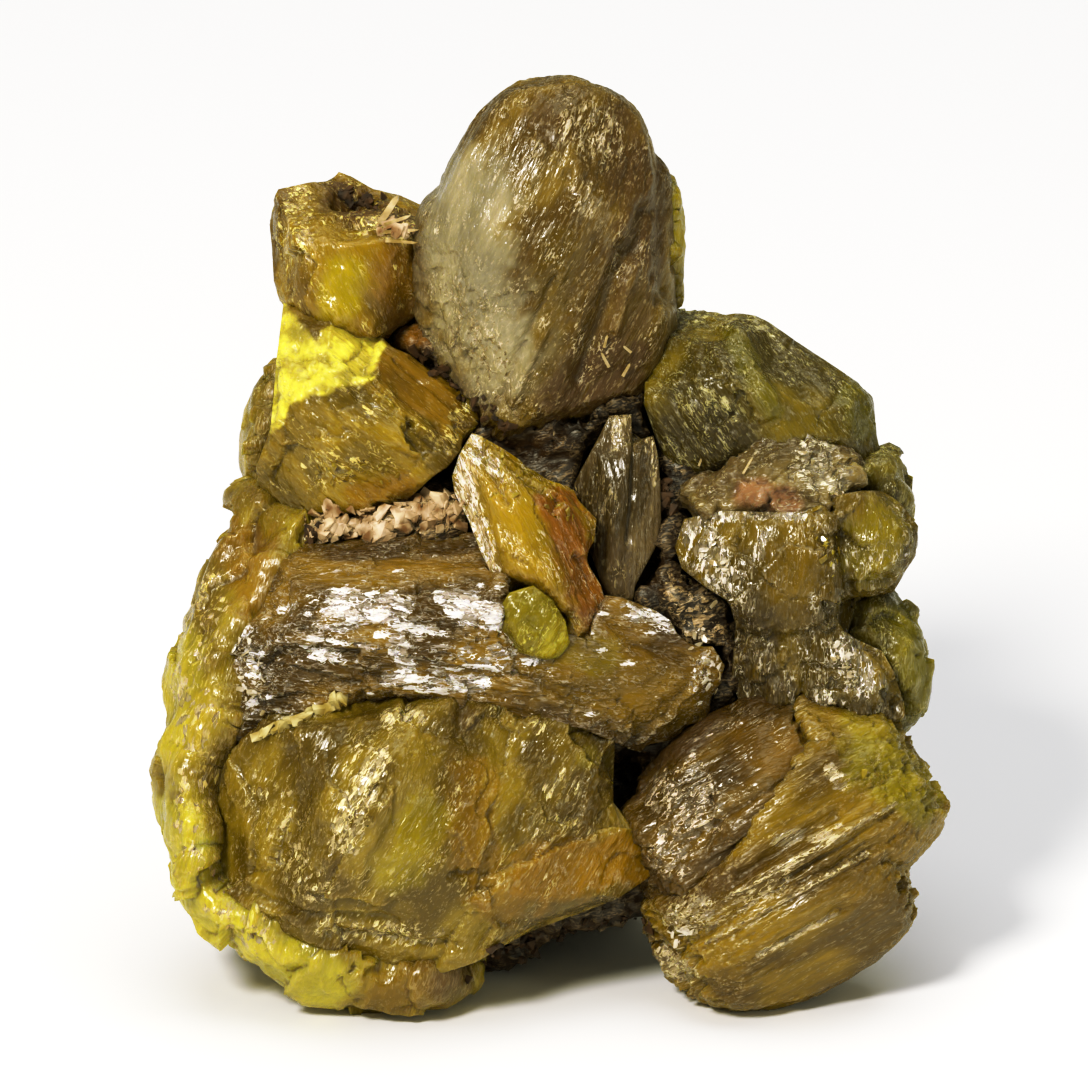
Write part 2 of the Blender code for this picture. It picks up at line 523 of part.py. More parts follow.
FINISHES = {
    green_bead: (0.32, 0.33, 0.004, 0.3),
    wedge_crystal: (0.36, 0.2, 0.01, 0.35),
    middle_sheaf: (0.27, 0.2, 0.06, 0.45),
    lower_left_crystal: (0.2, 0.15, 0.008, 0.35),
    lower_right_barrel_upper: (0.13, 0.09, 0.02, 0.45),
    lower_right_barrel: (0.17, 0.12, 0.015, 0.4),
    right_block: (0.18, 0.15, 0.03, 0.45),
    left_crystal: (0.24, 0.18, 0.008, 0.35),
    top_barrel_crystal: (0.15, 0.12, 0.03, 0.4),
    upper_left_crystal: (0.3, 0.23, 0.01, 0.4),
    grey_crust_crystal: (0.26, 0.22, 0.12, 0.6),
    right_dome: (0.08, 0.08, 0.01, 0.4),
    top_right_crystal: (0.18, 0.16, 0.008, 0.35),
    upright_blade: (0.14, 0.1, 0.04, 0.5),
    left_back_crystal: (0.2, 0.16, 0.03, 0.35),
    left_lobe: (0.26, 0.22, 0.012, 0.3),
    right_lobe: (0.14, 0.14, 0.01, 0.3),
    right_back_lobe: (0.13, 0.13, 0.01, 0.35),
    back_barrel_left: (0.17, 0.14, 0.015, 0.4),
    back_barrel_right: (0.15, 0.12, 0.015, 0.4),
    back_low_left: (0.2, 0.17, 0.012, 0.35),
    back_low_right: (0.15, 0.12, 0.015, 0.4),
    matrix: (0.09, 0.05, 0.025, 0.85),
}


def finish(name, red, green, blue, roughness):
    material = bpy.data.materials.new(name + "_finish")
    material.use_nodes = True
    shader = material.node_tree.nodes["Principled BSDF"]
    shader.inputs["Base Color"].default_value = (red, green, blue, 1)
    shader.inputs["Roughness"].default_value = roughness
    shader.inputs["Metallic"].default_value = 0
    return material


# ---- putting it together ------------------------------------------------------------------------

def grow_cluster():
    # each crystal keeps clear of those grown before it, and all of them stand on the ground
    bodies, rooms = [], []
    for shape, looks in FINISHES.items():
        body = grow(shape.__name__, **shape())
        room = grow(shape.__name__ + "_room", extra=GAP, **shape())
        for earlier in rooms:
            if boxes_meet(body, earlier):
                tool = earlier.copy()
                bpy.context.scene.collection.objects.link(tool)
                combine(body, tool, "DIFFERENCE")
        keep_main_piece(body)
        thin(body, ROCK_FACES if shape is matrix else CRYSTAL_FACES)
        chip(body, GROUND, -UP)
        body.data.materials.clear()
        body.data.materials.append(finish(body.name, *looks))
        bodies.append(body)
        rooms.append(room)
    for room in rooms:
        bpy.data.objects.remove(room)
    return bodies


def stand_up(bodies):
    # millimetres become metres, each crystal gets its own middle, and the face is leant back
    face = bpy.data.objects.new("show_face", None)
    bpy.context.scene.collection.objects.link(face)
    face.rotation_euler.x = -LEAN
    face.location = (CENTRE[0] * MM, CENTRE[1] * MM, -FLOOR_RISE * math.cos(LEAN) * MM)
    for body in bodies:
        body.data.transform(Matrix.Scale(MM, 4))
        points = corners(body)
        middle = Vector((points.min(axis=0) + points.max(axis=0)) / 2)
        body.data.transform(Matrix.Translation(-middle))
        body.location = middle
        body.parent = face
        body.data.shade_smooth()
        body.data.set_sharp_from_angle(angle=SHARP)


stand_up(grow_cluster())
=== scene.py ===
import math

import bmesh
import bpy
import numpy as np
from mathutils import Matrix, Vector
from mathutils.bvhtree import BVHTree


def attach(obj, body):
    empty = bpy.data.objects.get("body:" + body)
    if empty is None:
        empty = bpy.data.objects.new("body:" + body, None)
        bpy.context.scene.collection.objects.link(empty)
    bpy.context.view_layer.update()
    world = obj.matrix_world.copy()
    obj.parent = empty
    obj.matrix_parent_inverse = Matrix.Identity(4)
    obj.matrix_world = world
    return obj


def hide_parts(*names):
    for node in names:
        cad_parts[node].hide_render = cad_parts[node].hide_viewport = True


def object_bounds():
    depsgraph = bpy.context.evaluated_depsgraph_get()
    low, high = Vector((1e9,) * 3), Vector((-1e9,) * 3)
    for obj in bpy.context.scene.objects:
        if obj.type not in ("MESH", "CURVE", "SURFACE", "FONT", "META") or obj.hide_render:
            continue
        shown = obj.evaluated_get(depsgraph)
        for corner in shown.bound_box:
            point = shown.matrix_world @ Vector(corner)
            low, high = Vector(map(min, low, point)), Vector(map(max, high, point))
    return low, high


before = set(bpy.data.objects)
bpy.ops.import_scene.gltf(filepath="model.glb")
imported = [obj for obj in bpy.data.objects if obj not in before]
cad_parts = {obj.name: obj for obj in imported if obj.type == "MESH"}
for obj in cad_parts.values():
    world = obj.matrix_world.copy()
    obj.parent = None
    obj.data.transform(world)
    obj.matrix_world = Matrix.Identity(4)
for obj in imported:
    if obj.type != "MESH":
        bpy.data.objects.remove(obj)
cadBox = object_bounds()
print("frame loaded")

# Places on the specimen are in millimetres on its show face, which leans back 20 degrees:
# x to the right, y away from the viewer and z up the face.
lean = math.radians(20)
leanCos, leanSin = math.cos(lean), math.sin(lean)
footDepth, footHeight = 9.75, 0.45
groundSlope = 0.364  # how fast the ground rises on the face's own axes, the tangent of the lean
faceTurn = np.array([[1, 0, 0], [0, leanCos, -leanSin], [0, leanSin, leanCos]])
faceFoot = np.array([0, -footDepth, footHeight * leanCos])
boxSlack = 0.0004  # metres that the carved skins may stand out of the CAD form's own box


def toFace(places):
    return (places * 1000 - faceFoot) @ faceTurn.T


def toWorld(places):
    return (places @ faceTurn + faceFoot) / 1000


def boxed(places):
    # world places kept above the ground and close to the CAD form's own box
    low, high = np.array(cadBox[0]) - boxSlack, np.array(cadBox[1]) + boxSlack
    low[2] = 0
    return np.clip(places, low, high)


def addCamera():
    # square on to the show face, with this many millimetres of it in view
    viewWidth, distance, middleX, middleZ = 46, 500, -0.25, 20.04
    data = bpy.data.cameras.new("camera")
    camera = bpy.data.objects.new("camera", data)
    bpy.context.scene.collection.objects.link(camera)
    data.sensor_width = 36
    data.lens = data.sensor_width * distance / viewWidth
    data.clip_start = 0.01
    data.clip_end = 20
    middle = toWorld(np.array([[middleX, 0, middleZ]]))[0]
    back = np.array([0, -leanCos, leanSin]) * distance / 1000
    camera.location = middle + back
    camera.rotation_euler = (math.pi / 2 - lean, 0, 0)
    bpy.context.scene.camera = camera


def addLight(name, place, aim, size, power, colour):
    data = bpy.data.lights.new(name, "AREA")
    data.shape = "DISK"
    data.size = size
    data.energy = power
    data.color = colour
    lamp = bpy.data.objects.new(name, data)
    bpy.context.scene.collection.objects.link(lamp)
    lamp.location = place
    lamp.rotation_euler = (Vector(aim) - Vector(place)).to_track_quat("-Z", "Y").to_euler()


addCamera()
addLight("window", (-0.2, -0.34, 0.38), (0, 0, 0.018), 0.13, 2.45, (1, 0.96, 0.9))
addLight("ceiling", (0.1, 0.15, 0.9), (0, 0, 0), 0.9, 4.5, (1, 1, 1))
addLight("fill", (0.42, -0.3, 0.12), (0, 0, 0.018), 0.12, 0.25, (0.95, 0.97, 1))


def addWorld():
    # dim all round, so that glossy faces stay deep in colour, yet white behind the object
    world = bpy.data.worlds.new("studio")
    bpy.context.scene.world = world
    world.use_nodes = True
    tree = world.node_tree
    backdrop = tree.nodes["Background"]
    seen = tree.nodes.new("ShaderNodeLightPath").outputs["Is Camera Ray"]
    strength = tree.nodes.new("ShaderNodeMapRange")
    strength.inputs["To Min"].default_value = 0.25
    strength.inputs["To Max"].default_value = 1
    tree.links.new(seen, strength.inputs["Value"])
    tree.links.new(strength.outputs[0], backdrop.inputs["Strength"])
    backdrop.inputs["Color"].default_value = (1, 1, 1, 1)


addWorld()


def addTone():
    # a camera's own tone curve: deeper darks, and least blue in them
    view = bpy.context.scene.view_settings
    view.view_transform = "Standard"
    view.look = "None"
    view.use_curve_mapping = True
    curves = view.curve_mapping.curves
    curves[2].points.new(0.16, 0.125)
    curves[2].points.new(0.45, 0.45)
    for place, height in ((0.12, 0.09), (0.35, 0.36), (0.7, 0.8)):
        curves[3].points.new(place, height)
    view.curve_mapping.update()


addTone()


# patterns worked out at points

def hashed(cell, seed):
    x, y, z = ((cell[:, k].astype(np.int64) & 0xFFFFFFFF).astype(np.uint32) for k in range(3))
    mixed = x * np.uint32(0x8DA6B343) ^ y * np.uint32(0xD8163841) ^ z * np.uint32(0xCB1AB31F)
    mixed ^= np.uint32(seed * 0x9E3779B1 & 0xFFFFFFFF)
    mixed ^= mixed >> np.uint32(15)
    mixed *= np.uint32(0x2C1B3C6D)
    mixed ^= mixed >> np.uint32(12)
    mixed *= np.uint32(0x297A2D39)
    return mixed ^ (mixed >> np.uint32(15))


def threes(mixed):
    # three numbers from 0 to 1 out of each whole number
    parts = [mixed >> np.uint32(shift) & np.uint32(1023) for shift in (0, 10, 20)]
    return np.column_stack([part / 1023 for part in parts])


corners8 = [np.array([i, j, k]) for i in (0, 1) for j in (0, 1) for k in (0, 1)]
around27 = [np.array([i, j, k]) for i in (-1, 0, 1) for j in (-1, 0, 1) for k in (-1, 0, 1)]


def noise(places, seed=0):
    # smooth hills and hollows from about -1 to 1, one to each unit
    cell = np.floor(places)
    part = places - cell
    ease = part ** 3 * (part * (part * 6 - 15) + 10)
    total = np.zeros(len(places))
    for corner in corners8:
        slope = threes(hashed(cell + corner, seed)) * 2 - 1
        weight = np.prod(np.where(corner, ease, 1 - ease), axis=1)
        total += weight * np.sum(slope * (part - corner), axis=1)
    return total * 1.6


def fractal(places, octaves, seed=0, rough=0.5):
    total, scale, share = 0, 1, 1
    for k in range(octaves):
        total = total + share * noise(places * scale + 17.3 * k, seed + k)
        scale *= 2.03
        share *= rough
    return total


def cells(places, seed=0):
    # the nearest of scattered points: how near the next one is, its own three numbers, the way to it
    home = np.floor(places)
    best = np.full(len(places), 9.0)
    second = best.copy()
    key = np.zeros((len(places), 3))
    away = np.zeros((len(places), 3))
    for step in around27:
        own = threes(hashed(home + step, seed))
        gap = places - home - step - own
        far = np.sum(gap * gap, axis=1)
        nearer = far < best
        second = np.where(nearer, best, np.minimum(second, far))
        best = np.where(nearer, far, best)
        key[nearer] = own[nearer]
        away[nearer] = gap[nearer]
    return np.sqrt(second) - np.sqrt(best), key, away


def ramp(values, low, high):
    part = np.clip((values - low) / (high - low), 0, 1)
    return part * part * (3 - 2 * part)


def pathGap(places, path):
    # distance on the show face from a line through a few points, and the side of it
    flat = places[:, [0, 2]]
    best = np.full(len(flat), 1e9)
    side = np.zeros(len(flat))
    path = np.array(path, float)
    if len(path) == 1:
        return np.linalg.norm(flat - path[0], axis=1), side
    for start, end in zip(path[:-1], path[1:]):
        run = end - start
        share = np.clip((flat - start) @ run / (run @ run), 0, 1)
        gap = flat - start - share[:, None] * run
        far = np.linalg.norm(gap, axis=1)
        near = far < best
        best = np.where(near, far, best)
        side = np.where(near, np.sign(run[0] * gap[:, 1] - run[1] * gap[:, 0]), side)
    return best, side


def inside(places, outline):
    # above 0 inside an outline on the show face, and how deep
    x, z = places[:, 0], places[:, 2]
    ring = np.array(outline, float)
    odd = np.zeros(len(x), bool)
    for (ax, az), (bx, bz) in zip(ring, np.roll(ring, -1, axis=0)):
        spans = (az > z) != (bz > z)
        odd ^= spans & (x < ax + (bx - ax) * (z - az) / (bz - az + 1e-9))
    gap = pathGap(places, list(outline) + [outline[0]])[0]
    return np.where(odd, gap, -gap)


def trimmed(places, outline):
    # points that stand outside an outline on the show face move straight in to it
    flat = places[:, [0, 2]]
    ring = np.array(outline + outline[:1], float)
    best = np.full(len(flat), 1e9)
    target = flat.copy()
    for start, end in zip(ring[:-1], ring[1:]):
        run = end - start
        share = np.clip((flat - start) @ run / (run @ run), 0, 1)
        spot = start + share[:, None] * run
        far = np.linalg.norm(flat - spot, axis=1)
        near = far < best
        best[near] = far[near]
        target[near] = spot[near]
    outer = inside(places, outline) < 0
    places = places.copy()
    places[outer, 0] = target[outer, 0]
    places[outer, 2] = target[outer, 1]
    return places


# sculpting

cadMesh = {}
for name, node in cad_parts.items():
    places = np.empty(len(node.data.vertices) * 3)
    node.data.vertices.foreach_get("co", places)
    node.data.calc_loop_triangles()
    sides = [tuple(face.vertices) for face in node.data.loop_triangles]
    cadMesh[name] = (toFace(places.reshape(-1, 3)), sides)


def neighbours(name):
    # everything but this node, as one tree for measuring the way to it
    spots, faces = [], []
    for other, (places, sides) in cadMesh.items():
        if other != name:
            start = len(spots)
            spots += places.tolist()
            faces += [tuple(k + start for k in side) for side in sides]
    return BVHTree.FromPolygons(spots, faces)


def remeshed(name, voxel, melt, levels=1):
    # the CAD form as an even, softened skin fine enough to carve
    start = bmesh.new()
    start.from_mesh(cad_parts[name].data)
    bmesh.ops.remove_doubles(start, verts=start.verts, dist=1e-6)
    for vert in start.verts:
        vert.co = toFace(np.array([vert.co[:]]))[0]
    mesh = bpy.data.meshes.new(name + "_start")
    start.to_mesh(mesh)
    start.free()
    piece = bpy.data.objects.new(name + "_start", mesh)
    bpy.context.scene.collection.objects.link(piece)
    even = piece.modifiers.new("even", "REMESH")
    even.mode = "VOXEL"
    even.voxel_size = voxel
    soft = piece.modifiers.new("soft", "SMOOTH")
    soft.iterations = melt
    soft.factor = 0.5
    fine = piece.modifiers.new("fine", "SUBSURF")
    fine.levels = levels
    ready = piece.evaluated_get(bpy.context.evaluated_depsgraph_get())
    shaped = bpy.data.meshes.new_from_object(ready)
    bpy.data.objects.remove(piece)
    bpy.data.meshes.remove(mesh)
    return shaped


def readPlaces(mesh):
    places = np.empty(len(mesh.vertices) * 3)
    mesh.vertices.foreach_get("co", places)
    return places.reshape(-1, 3)


def readNormals(mesh, places):
    mesh.vertices.foreach_set("co", places.ravel())
    mesh.update()
    normals = np.empty(len(places) * 3)
    mesh.vertex_normals.foreach_get("vector", normals)
    return normals.reshape(-1, 3)


def readEdges(mesh):
    edges = np.empty(len(mesh.edges) * 2, np.int32)
    mesh.edges.foreach_get("vertices", edges)
    return edges.reshape(-1, 2)


def evened(values, edges, rounds):
    # each point's numbers drawn toward those of the points around it
    values = values.copy()
    count = np.bincount(edges.ravel(), minlength=len(values))
    for _ in range(rounds):
        for k in range(values.shape[1]):
            near = np.bincount(edges[:, 0], values[edges[:, 1], k], len(values))
            near += np.bincount(edges[:, 1], values[edges[:, 0], k], len(values))
            values[:, k] = (values[:, k] + near / count) / 2
    return values


class Grain:
    # the run of a crystal's fibres: along them, across them on the show face, and into it
    def __init__(self, angle, tip=0, centre=(0, 0, 0), splay=0):
        turn, dip = math.radians(angle), math.radians(tip)
        right, up = math.cos(turn), math.sin(turn)
        self.along = np.array([right * math.cos(dip), math.sin(dip), up * math.cos(dip)])
        self.across = np.array([-up, 0, right])
        self.deep = np.cross(self.along, self.across)
        self.centre = np.array(centre)
        self.splay = splay

    def spread(self, places, width, length, seed=0):
        # places measured in fibre widths and lengths, with the fibres bowed like a barrel's staves
        off = places - self.centre
        run = off @ self.along
        bow = 1 + self.splay * run ** 2
        return np.column_stack([off @ self.across * bow / width, off @ self.deep * bow / width,
                                run / length]) + seed * 7.7


def cutFlat(places, cuts, seed):
    # flat broken faces: turn is the way a face looks on the show face, lift how far it looks out at
    # the viewer, depth how much of the crystal is gone
    for turn, lift, depth in cuts:
        turn, lift = math.radians(turn), math.radians(lift)
        level = math.cos(lift)
        way = np.array([math.cos(turn) * level, -math.sin(lift), math.sin(turn) * level])
        reach = places @ way
        limit = reach.max() - depth + 0.07 * fractal(places / 1.3, 2, seed + 60)
        places = places - np.maximum(reach - limit, 0)[:, None] * way
    return places


def randomCuts(count, depth, seed):
    spread = threes(hashed(np.arange(count * 3).reshape(-1, 3), seed))
    return [(360 * (k + a) / count, 70 - 110 * b, depth * (0.5 + c))
            for k, (a, b, c) in enumerate(spread)]


def carve(name, look):
    mesh = remeshed(name, look.get("voxel", 0.24), look.get("melt", 10), look.get("levels", 1))
    places = readPlaces(mesh)
    edges = readEdges(mesh)
    seed = look["seed"]
    # the gap to the neighbours closes, so that the crystals look grown together
    tree = neighbours(name)
    normals = readNormals(mesh, places)
    gaps = np.array([tree.find_nearest(spot, 3)[3] or 3 for spot in places.tolist()])
    growth = look.get("join", 0.5) * ramp(-gaps, -look.get("near", 1.5), -0.3)
    places = places + normals * growth[:, None]
    for x, z, reach, *shift in look.get("pulls", []):
        near = np.exp(-((pathGap(places, [(x, z)])[0] / reach) ** 2)) * ramp(-normals[:, 1], -0.6, 0.3)
        places = places + near[:, None] * np.array(shift)
    cuts = look.get("cuts", []) + randomCuts(look.get("chips", 0), look.get("chip", 0.6), seed)
    places = cutFlat(places, cuts, seed)
    normals = readNormals(mesh, evened(places, edges, 2))
    grain = Grain(look["angle"], look.get("tip", 0), places.mean(axis=0), look.get("splay", 0))
    front = ramp(-normals[:, 1], -0.1, 0.4)
    calm = np.ones(len(places))
    for path, reach, amount in look.get("calm", []):
        gap = pathGap(places, path)[0] + 0.25 * noise(places / 1.1, seed + 50) * reach
        calm *= 1 - amount * front * ramp(-gap, -reach, -0.5 * reach)

    rise = np.full(len(places), look.get("swell", 0.1))
    wide, high = look.get("lumps", (3, 0.2))
    rise += high * fractal(places / wide, 2, seed)
    for width, length, depth, kind in look.get("relief", []):
        spots = grain.spread(places, width, length, seed)
        seed += 3
        if kind == "ridge":
            rise += depth * calm * (0.5 - np.abs(fractal(spots, 2, seed))) * 1.6
        elif kind in ("flake", "plank", "facet"):
            slope, crease = {"flake": (1.8, 0.5), "plank": (0.5, 0.5), "facet": (2.6, 0.06)}[kind]
            gap, key, away = cells(spots + 0.2 * noise(spots * 1.7, seed)[:, None], seed)
            tilt = np.sum(away * (key - 0.5), axis=1) * slope + (key[:, 0] - 0.5)
            rise += depth * calm * (tilt - crease * (1 - ramp(gap, 0, 0.12)))
        elif kind == "pit":
            gap, key, away = cells(places / width, seed)
            hole = (1 - ramp(np.linalg.norm(away, axis=1), 0.15, 0.5)) * (key[:, 0] > length)
            rise -= depth * calm * hole
    for kind, path, reach, depth in look.get("marks", []):
        gap, side = pathGap(places, path)
        gap = gap + 0.3 * reach * noise(places / 0.7, seed + 9)
        if kind == "groove":
            rise -= front * depth * np.exp(-(gap / reach) ** 2)
        elif kind == "rib":
            rise += front * depth * np.exp(-(gap / reach) ** 2)
        elif kind == "step":
            rise += front * depth * np.where(side > 0, np.exp(-gap / reach), 0) * ramp(gap, -0.01, 0.06)
    places = places + normals * rise[:, None]

    # broken ends: fibres snapped at different lengths
    for sign, low, amount, width in look.get("ends", []):
        normals = readNormals(mesh, places)
        facing = ramp(sign * (normals @ grain.along), low, min(low + 0.35, 1))
        spots = grain.spread(places, width, 40, seed + 5)
        gap, key, away = cells(spots, seed + 5)
        shift = (key[:, 1] - 0.6) + 0.4 * noise(spots * 0.6, seed + 6)
        places = places + (sign * amount * facing * shift)[:, None] * grain.along
    for outline in look.get("trim", []):
        places = trimmed(places, outline)

    # the ground keeps what stands on it flat
    ground = groundSlope * places[:, 1] - footHeight
    lowest = places[:, 2] < ground
    places[lowest, 2] = ground[lowest]

    normals = readNormals(mesh, places)
    relief = np.sum((places - evened(places, edges, 8)) * normals, axis=1)
    seam = np.array([tree.find_nearest(spot, 2)[3] or 2 for spot in places.tolist()])
    paint = {"relief": np.clip(0.5 + relief * 6, 0, 1), "seam": np.exp(-((seam / 0.5) ** 2))}
    front = ramp(-normals[:, 1], -0.25, 0.25)
    for channel in ("warm", "tintAndPaintedLight", "crustAndHighlight", "dirtAndShade"):
        paint[channel] = np.zeros(len(places))
    spots = grain.spread(places, 1.3, 2.4, seed + 40)
    clear = 5 * look.get("smooth", 0.5) - 2.5
    paint["flaky"] = ramp(fractal(spots, 3, seed + 40), clear - 0.15, clear + 0.3)
    paint["cloud"] = ramp(fractal(spots / 1.8, 3, seed + 43), -0.45, 0.45)
    ragged = fractal(places / 0.8, 3, seed + 21)
    for channel, path, reach, amount in look.get("paint", []):
        gap = pathGap(places, path)[0] + 0.35 * reach * ragged
        mask = front * (1 - ramp(gap, 0.45 * reach, 1.1 * reach))
        paint[channel] = np.maximum(paint[channel], mask * amount)
    for channel, outline, amount in look.get("areas", []):
        mask = front * ramp(inside(places, outline) + 0.25 * ragged, -0.08, 0.1)
        mask *= 0.45 + 0.55 * ramp(fractal(places / 0.9, 3, seed + 31), -0.25, 0.2)
        paint[channel] = np.maximum(paint[channel], mask * amount)
    return mesh, places, paint


def finishMesh(name, mesh, places, paint, material):
    mesh.vertices.foreach_set("co", boxed(toWorld(places)).ravel())
    mesh.name = name
    for channel, values in paint.items():
        layer = mesh.attributes.new(channel, "FLOAT", "POINT")
        layer.data.foreach_set("value", values.astype(np.float32))
    mesh.shade_smooth()
    mesh.update()
    mesh.materials.clear()
    mesh.materials.append(material)
    piece = bpy.data.objects.new(name, mesh)
    bpy.context.scene.collection.objects.link(piece)
    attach(piece, "root")
    return piece


# finishes

def linear(code):
    # an sRGB hex colour as linear light
    parts = [int(code[k:k + 2], 16) / 255 for k in (1, 3, 5)]
    return tuple(p / 12.92 if p <= 0.04045 else ((p + 0.055) / 1.055) ** 2.4 for p in parts) + (1,)


def add(tree, kind, inputs, **settings):
    # one node: each input is a value or the socket that feeds it; gives back its only output, or
    # the node itself where it has several
    made = tree.nodes.new("ShaderNode" + kind)
    for key, value in settings.items():
        setattr(made, key, value)
    for key, value in inputs.items():
        if isinstance(value, bpy.types.NodeSocket):
            tree.links.new(value, made.inputs[key])
        else:
            made.inputs[key].default_value = value
    shown = [socket for socket in made.outputs if socket.enabled]
    return shown[0] if len(shown) == 1 else made


# settings that many nodes share
times = {"operation": "MULTIPLY", "use_clamp": True}
timesPlus = {"operation": "MULTIPLY_ADD", "use_clamp": True}
larger = {"operation": "MAXIMUM", "use_clamp": True}
plus = {"operation": "ADD", "use_clamp": True}
softly = {"interpolation_type": "SMOOTHSTEP"}
overlaid = {"data_type": "RGBA"}
multiplied = {"data_type": "RGBA", "blend_type": "MULTIPLY"}


def newFinish(name):
    material = bpy.data.materials.new(name)
    material.use_nodes = True
    tree = material.node_tree
    return material, tree, tree.nodes["Principled BSDF"]


def fibreTurn(angle, tip):
    grain = Grain(angle, tip)
    axes = np.column_stack([grain.across, grain.deep, grain.along])
    return Matrix((faceTurn.T @ axes).tolist()).to_euler()


def crystalFinish(name, look):
    # pyromorphite, grown and broken: a clear colour with depth under the lustre of resin, glossy
    # flakes along the fibres, brown in the seams and hollows that is partly dirt and partly painted
    # shade, and pale ridges and flakes that are partly bruised skin and partly painted highlight,
    # with painted glints
    material, tree, shader = newFinish(name)
    spot = add(tree, "TexCoord", {}).outputs["Object"]
    turn = fibreTurn(look["angle"], look.get("tip", 0))

    def fibres(width, length):
        # cells of this many millimetres across and along the fibres
        size = (width / 1000, width / 1000, length / 1000)
        place = {"Vector": spot, "Rotation": turn, "Scale": size}
        return add(tree, "Mapping", place, vector_type="TEXTURE")

    titles = ("relief", "seam", "warm", "tintAndPaintedLight", "crustAndHighlight", "dirtAndShade", "flaky", "cloud")
    channel = {title: add(tree, "Attribute", {}, attribute_name=title).outputs["Fac"] for title in titles}
    # some patches are flaky, the rest is smooth and clear
    patch, cloud = channel["flaky"], channel["cloud"]

    # streaks along the fibres, short wisps, and flakes that the wisps bend
    streak = add(tree, "TexNoise", {"Vector": fibres(0.2, 2.4), "Scale": 1, "Detail": 2}).outputs["Fac"]
    wisp = add(tree, "TexNoise", {"Vector": fibres(0.09, 0.36), "Scale": 1, "Detail": 2}).outputs["Fac"]
    size = look.get("flake", 0.17)
    flakeAt = fibres(size, size * look.get("long", 3.2))
    bent = add(tree, "VectorMath", {0: wisp, 1: (1.5, -1.3, 0.9), 2: flakeAt}, operation="MULTIPLY_ADD")
    flake = add(tree, "TexVoronoi", {"Vector": bent, "Scale": 1})
    away = add(tree, "VectorMath", {0: flake.outputs["Position"], 1: bent}, operation="SUBTRACT")
    own = add(tree, "VectorMath", {0: flake.outputs["Color"], 1: (0.5, 0.5, 0.5)}, operation="SUBTRACT")
    facet = add(tree, "VectorMath", {0: away, 1: own}, operation="DOT_PRODUCT")
    sides = add(tree, "SeparateXYZ", {"Vector": flake.outputs["Color"]})
    speck = add(tree, "TexVoronoi", {"Vector": fibres(0.13, 0.22), "Scale": 1})
    speckSides = add(tree, "SeparateXYZ", {"Vector": speck.outputs["Color"]})
    # fine curly lines, painted in the glint colour as thin highlights and raised in the bump
    curl = add(tree, "TexNoise", {"Vector": fibres(0.22, 0.46), "Scale": 1, "Detail": 1}).outputs["Fac"]
    curl = add(tree, "Math", {0: curl, 1: 0.5, 2: 0.035}, operation="COMPARE")
    onStreaks = add(tree, "MapRange", {0: streak, 1: 0.48, 2: 0.56}, **softly)
    lace = add(tree, "Math", {0: curl, 1: onStreaks}, **times)

    # the crystal's own colour, clouded and streaked
    colour = add(tree, "Mix", {0: cloud, 6: linear(look["deep"]), 7: linear(look["body"])}, **overlaid)
    colour = add(tree, "Mix", {0: channel["warm"], 6: colour, 7: linear(look["warm"])}, **overlaid)
    colour = add(tree, "Mix", {0: channel["tintAndPaintedLight"], 6: colour, 7: linear(look["tintAndPaintedLight"])}, **overlaid)
    grain = look.get("grain", 0.09)
    shade = add(tree, "MapRange", {0: streak, 1: 0.36, 2: 0.64, 3: 1 - grain, 4: 1 + grain})
    drift = add(tree, "MapRange", {0: cloud, 1: 0, 2: 1, 3: 0.84, 4: 1.12})
    colour = add(tree, "Mix", {0: 1, 6: colour, 7: shade}, **multiplied)
    colour = add(tree, "Mix", {0: 1, 6: colour, 7: drift}, **multiplied)

    # darker brown in the seams between crystals, in hollows and where painted: partly iron stain,
    # partly painted shade
    hollow = add(tree, "MapRange", {0: channel["relief"], 1: 0.4, 2: 0}, **softly)
    hollow = add(tree, "Math", {0: hollow, 1: look.get("hollowDarkening", 0.4)}, **times)
    between = add(tree, "Math", {0: channel["seam"], 1: look.get("seam", 0.55)}, **times)
    stainAndShade = add(tree, "Math", {0: hollow, 1: between}, **larger)
    stainAndShade = add(tree, "Math", {0: stainAndShade, 1: channel["dirtAndShade"]}, **larger)
    broken = add(tree, "MapRange", {0: streak, 1: 0.15, 2: 0.55}, **softly)
    stainAndShade = add(tree, "Math", {0: stainAndShade, 1: broken}, **times)
    colour = add(tree, "Mix", {0: stainAndShade, 6: colour, 7: linear(look["dirtAndShade"])}, **overlaid)

    # pale ridges, broken into wisps: partly bruised skin, partly a painted highlight on the edges
    ridge = add(tree, "MapRange", {0: channel["relief"], 1: 0.58, 2: 0.9}, **softly)
    broken = add(tree, "MapRange", {0: wisp, 1: 0.46, 2: 0.6}, **softly)
    ridge = add(tree, "Math", {0: ridge, 1: broken}, **times)
    ridge = add(tree, "Math", {0: ridge, 1: look.get("ridgeBruiseAndHighlight", 0.4)}, **times)
    # crust and painted highlight, where more and more flakes have gone pale
    crustAndHighlightFlakes = add(tree, "Math", {0: channel["crustAndHighlight"], 1: 1.3}, **times)
    crustAndHighlightFlakes = add(tree, "Math", {0: crustAndHighlightFlakes, 1: sides.outputs[0]}, operation="SUBTRACT")
    crustAndHighlightFlakes = add(tree, "MapRange", {0: crustAndHighlightFlakes, 1: 0, 2: 0.12}, **softly)
    broken = add(tree, "MapRange", {0: wisp, 1: 0.28, 2: 0.5}, **softly)
    crustAndHighlightFlakes = add(tree, "Math", {0: crustAndHighlightFlakes, 1: broken}, **times)
